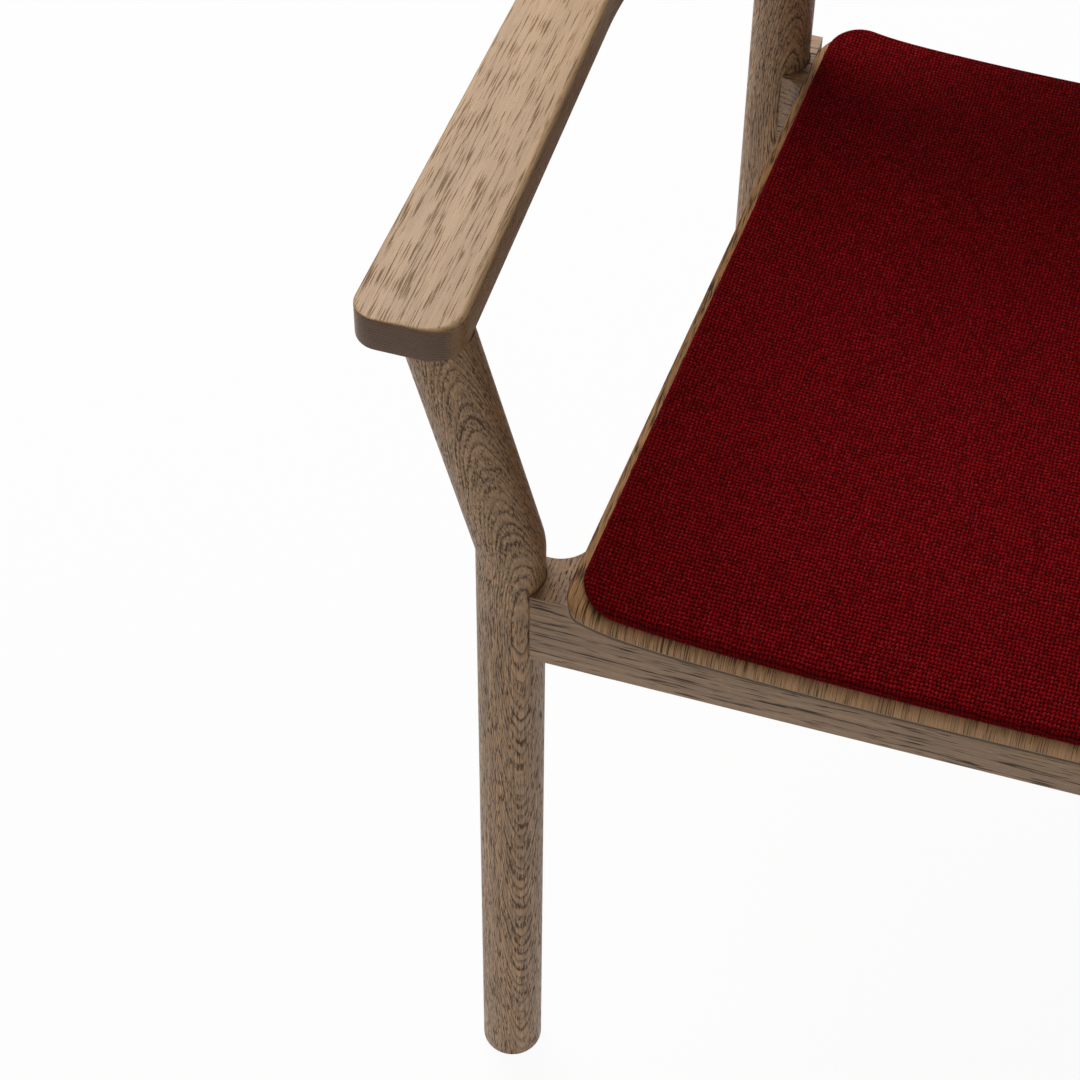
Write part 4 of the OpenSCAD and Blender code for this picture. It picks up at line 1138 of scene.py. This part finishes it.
carried = {
    "corner_block": blockWood, "corner_block_screws": screwSteel, "pad_board": boardWood,
    "front_rail_dowels": dowelWood, "rear_rail_dowels": dowelWood, "side_rail_dowels": dowelWood,
    "bow_dowels": dowelWood, "shell_screws": screwSteel, "pad_screws": screwSteel,
    "back_screws": screwSteel, "back_screw_plugs": plugWood, "glide_": glideNylon,
}
for nodeName in frame["nodes"]:
    keys = [key for key in carried if nodeName.startswith(key)]
    if not keys:
        continue
    material = carried[max(keys, key=len)]
    for obj in bpy.data.objects:
        if obj.type == "MESH" and obj.name.split(".")[0] == nodeName:
            obj.data.materials.clear()
            obj.data.materials.append(material)
print("carried nodes dressed")


# Floor, light and camera

# Metres and watts; a window is its place, its width and its power
studio = {
    "floor": 12.0, "paper": 0.88, "floorWhite": 0.95, "sky": 0.07, "aim": (-0.1, -0.1, 0.4),
    "windows": {"high window": ((-1.1, 1.0, 2.6), 2.0, 74),
                "low window": ((0.0, -2.6, 0.4), 1.8, 12)},
}


# Light Path's rays that see the background as white: the camera's, and those in gloss and glass
def backgroundRays(tree):
    rays = [addNode(tree, "LightPath", out=name)
            for name in ("Is Camera Ray", "Is Glossy Ray", "Is Transmission Ray")]
    anyTwo = addNode(tree, "Math", {0: rays[0], 1: rays[1]}, operation="MAXIMUM")
    return addNode(tree, "Math", {0: anyTwo, 1: rays[2]}, operation="MAXIMUM")


# Matt white paper, which keeps a faint shadow of the chair
white, tree = newMaterial("white paper floor")
paper = addNode(tree, "BsdfDiffuse", {"Color": (studio["paper"],) * 3 + (1,)})
glow = addNode(tree, "Emission", {"Color": (1, 1, 1, 1), "Strength": 1})
seen = addNode(tree, "Math", {0: backgroundRays(tree), 1: studio["floorWhite"]},
               operation="MULTIPLY")
showSurface(tree, addNode(tree, "MixShader", {0: seen, 1: paper, 2: glow}))
half = studio["floor"] / 2
floorMesh = bpy.data.meshes.new("floor")
floorMesh.from_pydata([(-half, -half, 0), (half, -half, 0), (half, half, 0), (-half, half, 0)],
                      [], [(0, 1, 2, 3)])
floorMesh.materials.append(white)
floor = bpy.data.objects.new("floor", floorMesh)
bpy.context.collection.objects.link(floor)

# A weak even sky, which the camera sees as white
world = bpy.data.worlds.new("studio")
bpy.context.scene.world = world
world.use_nodes = True
tree = world.node_tree
tree.nodes.clear()
skyLevel = addNode(tree, "MapRange", {"Value": backgroundRays(tree), "To Min": studio["sky"],
                                      "To Max": 1})
sky = addNode(tree, "Background", {"Color": (1, 1, 1, 1), "Strength": skyLevel})
showSurface(tree, sky, "OutputWorld")

# Two soft windows: a high one behind the chair, and a low one in front that lights the legs
for name, (place, width, power) in studio["windows"].items():
    window = bpy.data.lights.new(name, "AREA")
    window.size = width
    window.energy = power
    lamp = bpy.data.objects.new(name, window)
    lamp.location = place
    toChair = Vector(studio["aim"]) - Vector(place)
    lamp.rotation_euler = toChair.to_track_quat("-Z", "Y").to_euler()
    bpy.context.collection.objects.link(lamp)

# The camera's place in metres, lens in millimetres and angles in degrees, as in the photograph
camera = {"place": (0.0202, -1.1072, 1.5522), "lens": 95.40, "sensor": 36,
          "turn": 16.676, "down": 50.312, "roll": -0.494}
turn, down, roll = (math.radians(camera[key]) for key in ("turn", "down", "roll"))
right = Vector((math.cos(turn), math.sin(turn), 0))
backward = Vector((math.sin(turn) * math.cos(down), -math.cos(turn) * math.cos(down),
                   math.sin(down)))
downward = -right.cross(-backward)
rolledRight = right * math.cos(roll) + downward * math.sin(roll)
rolledDown = -right * math.sin(roll) + downward * math.cos(roll)
lens = bpy.data.cameras.new("camera")
lens.lens = camera["lens"]
lens.sensor_width = camera["sensor"]
view = bpy.data.objects.new("camera", lens)
axes = Matrix((rolledRight, -rolledDown, backward)).transposed().to_4x4()
view.matrix_world = Matrix.Translation(camera["place"]) @ axes
bpy.context.collection.objects.link(view)
bpy.context.scene.camera = view
bpy.context.scene.view_settings.view_transform = "Standard"
print("studio made")

bpy.context.view_layer.update()
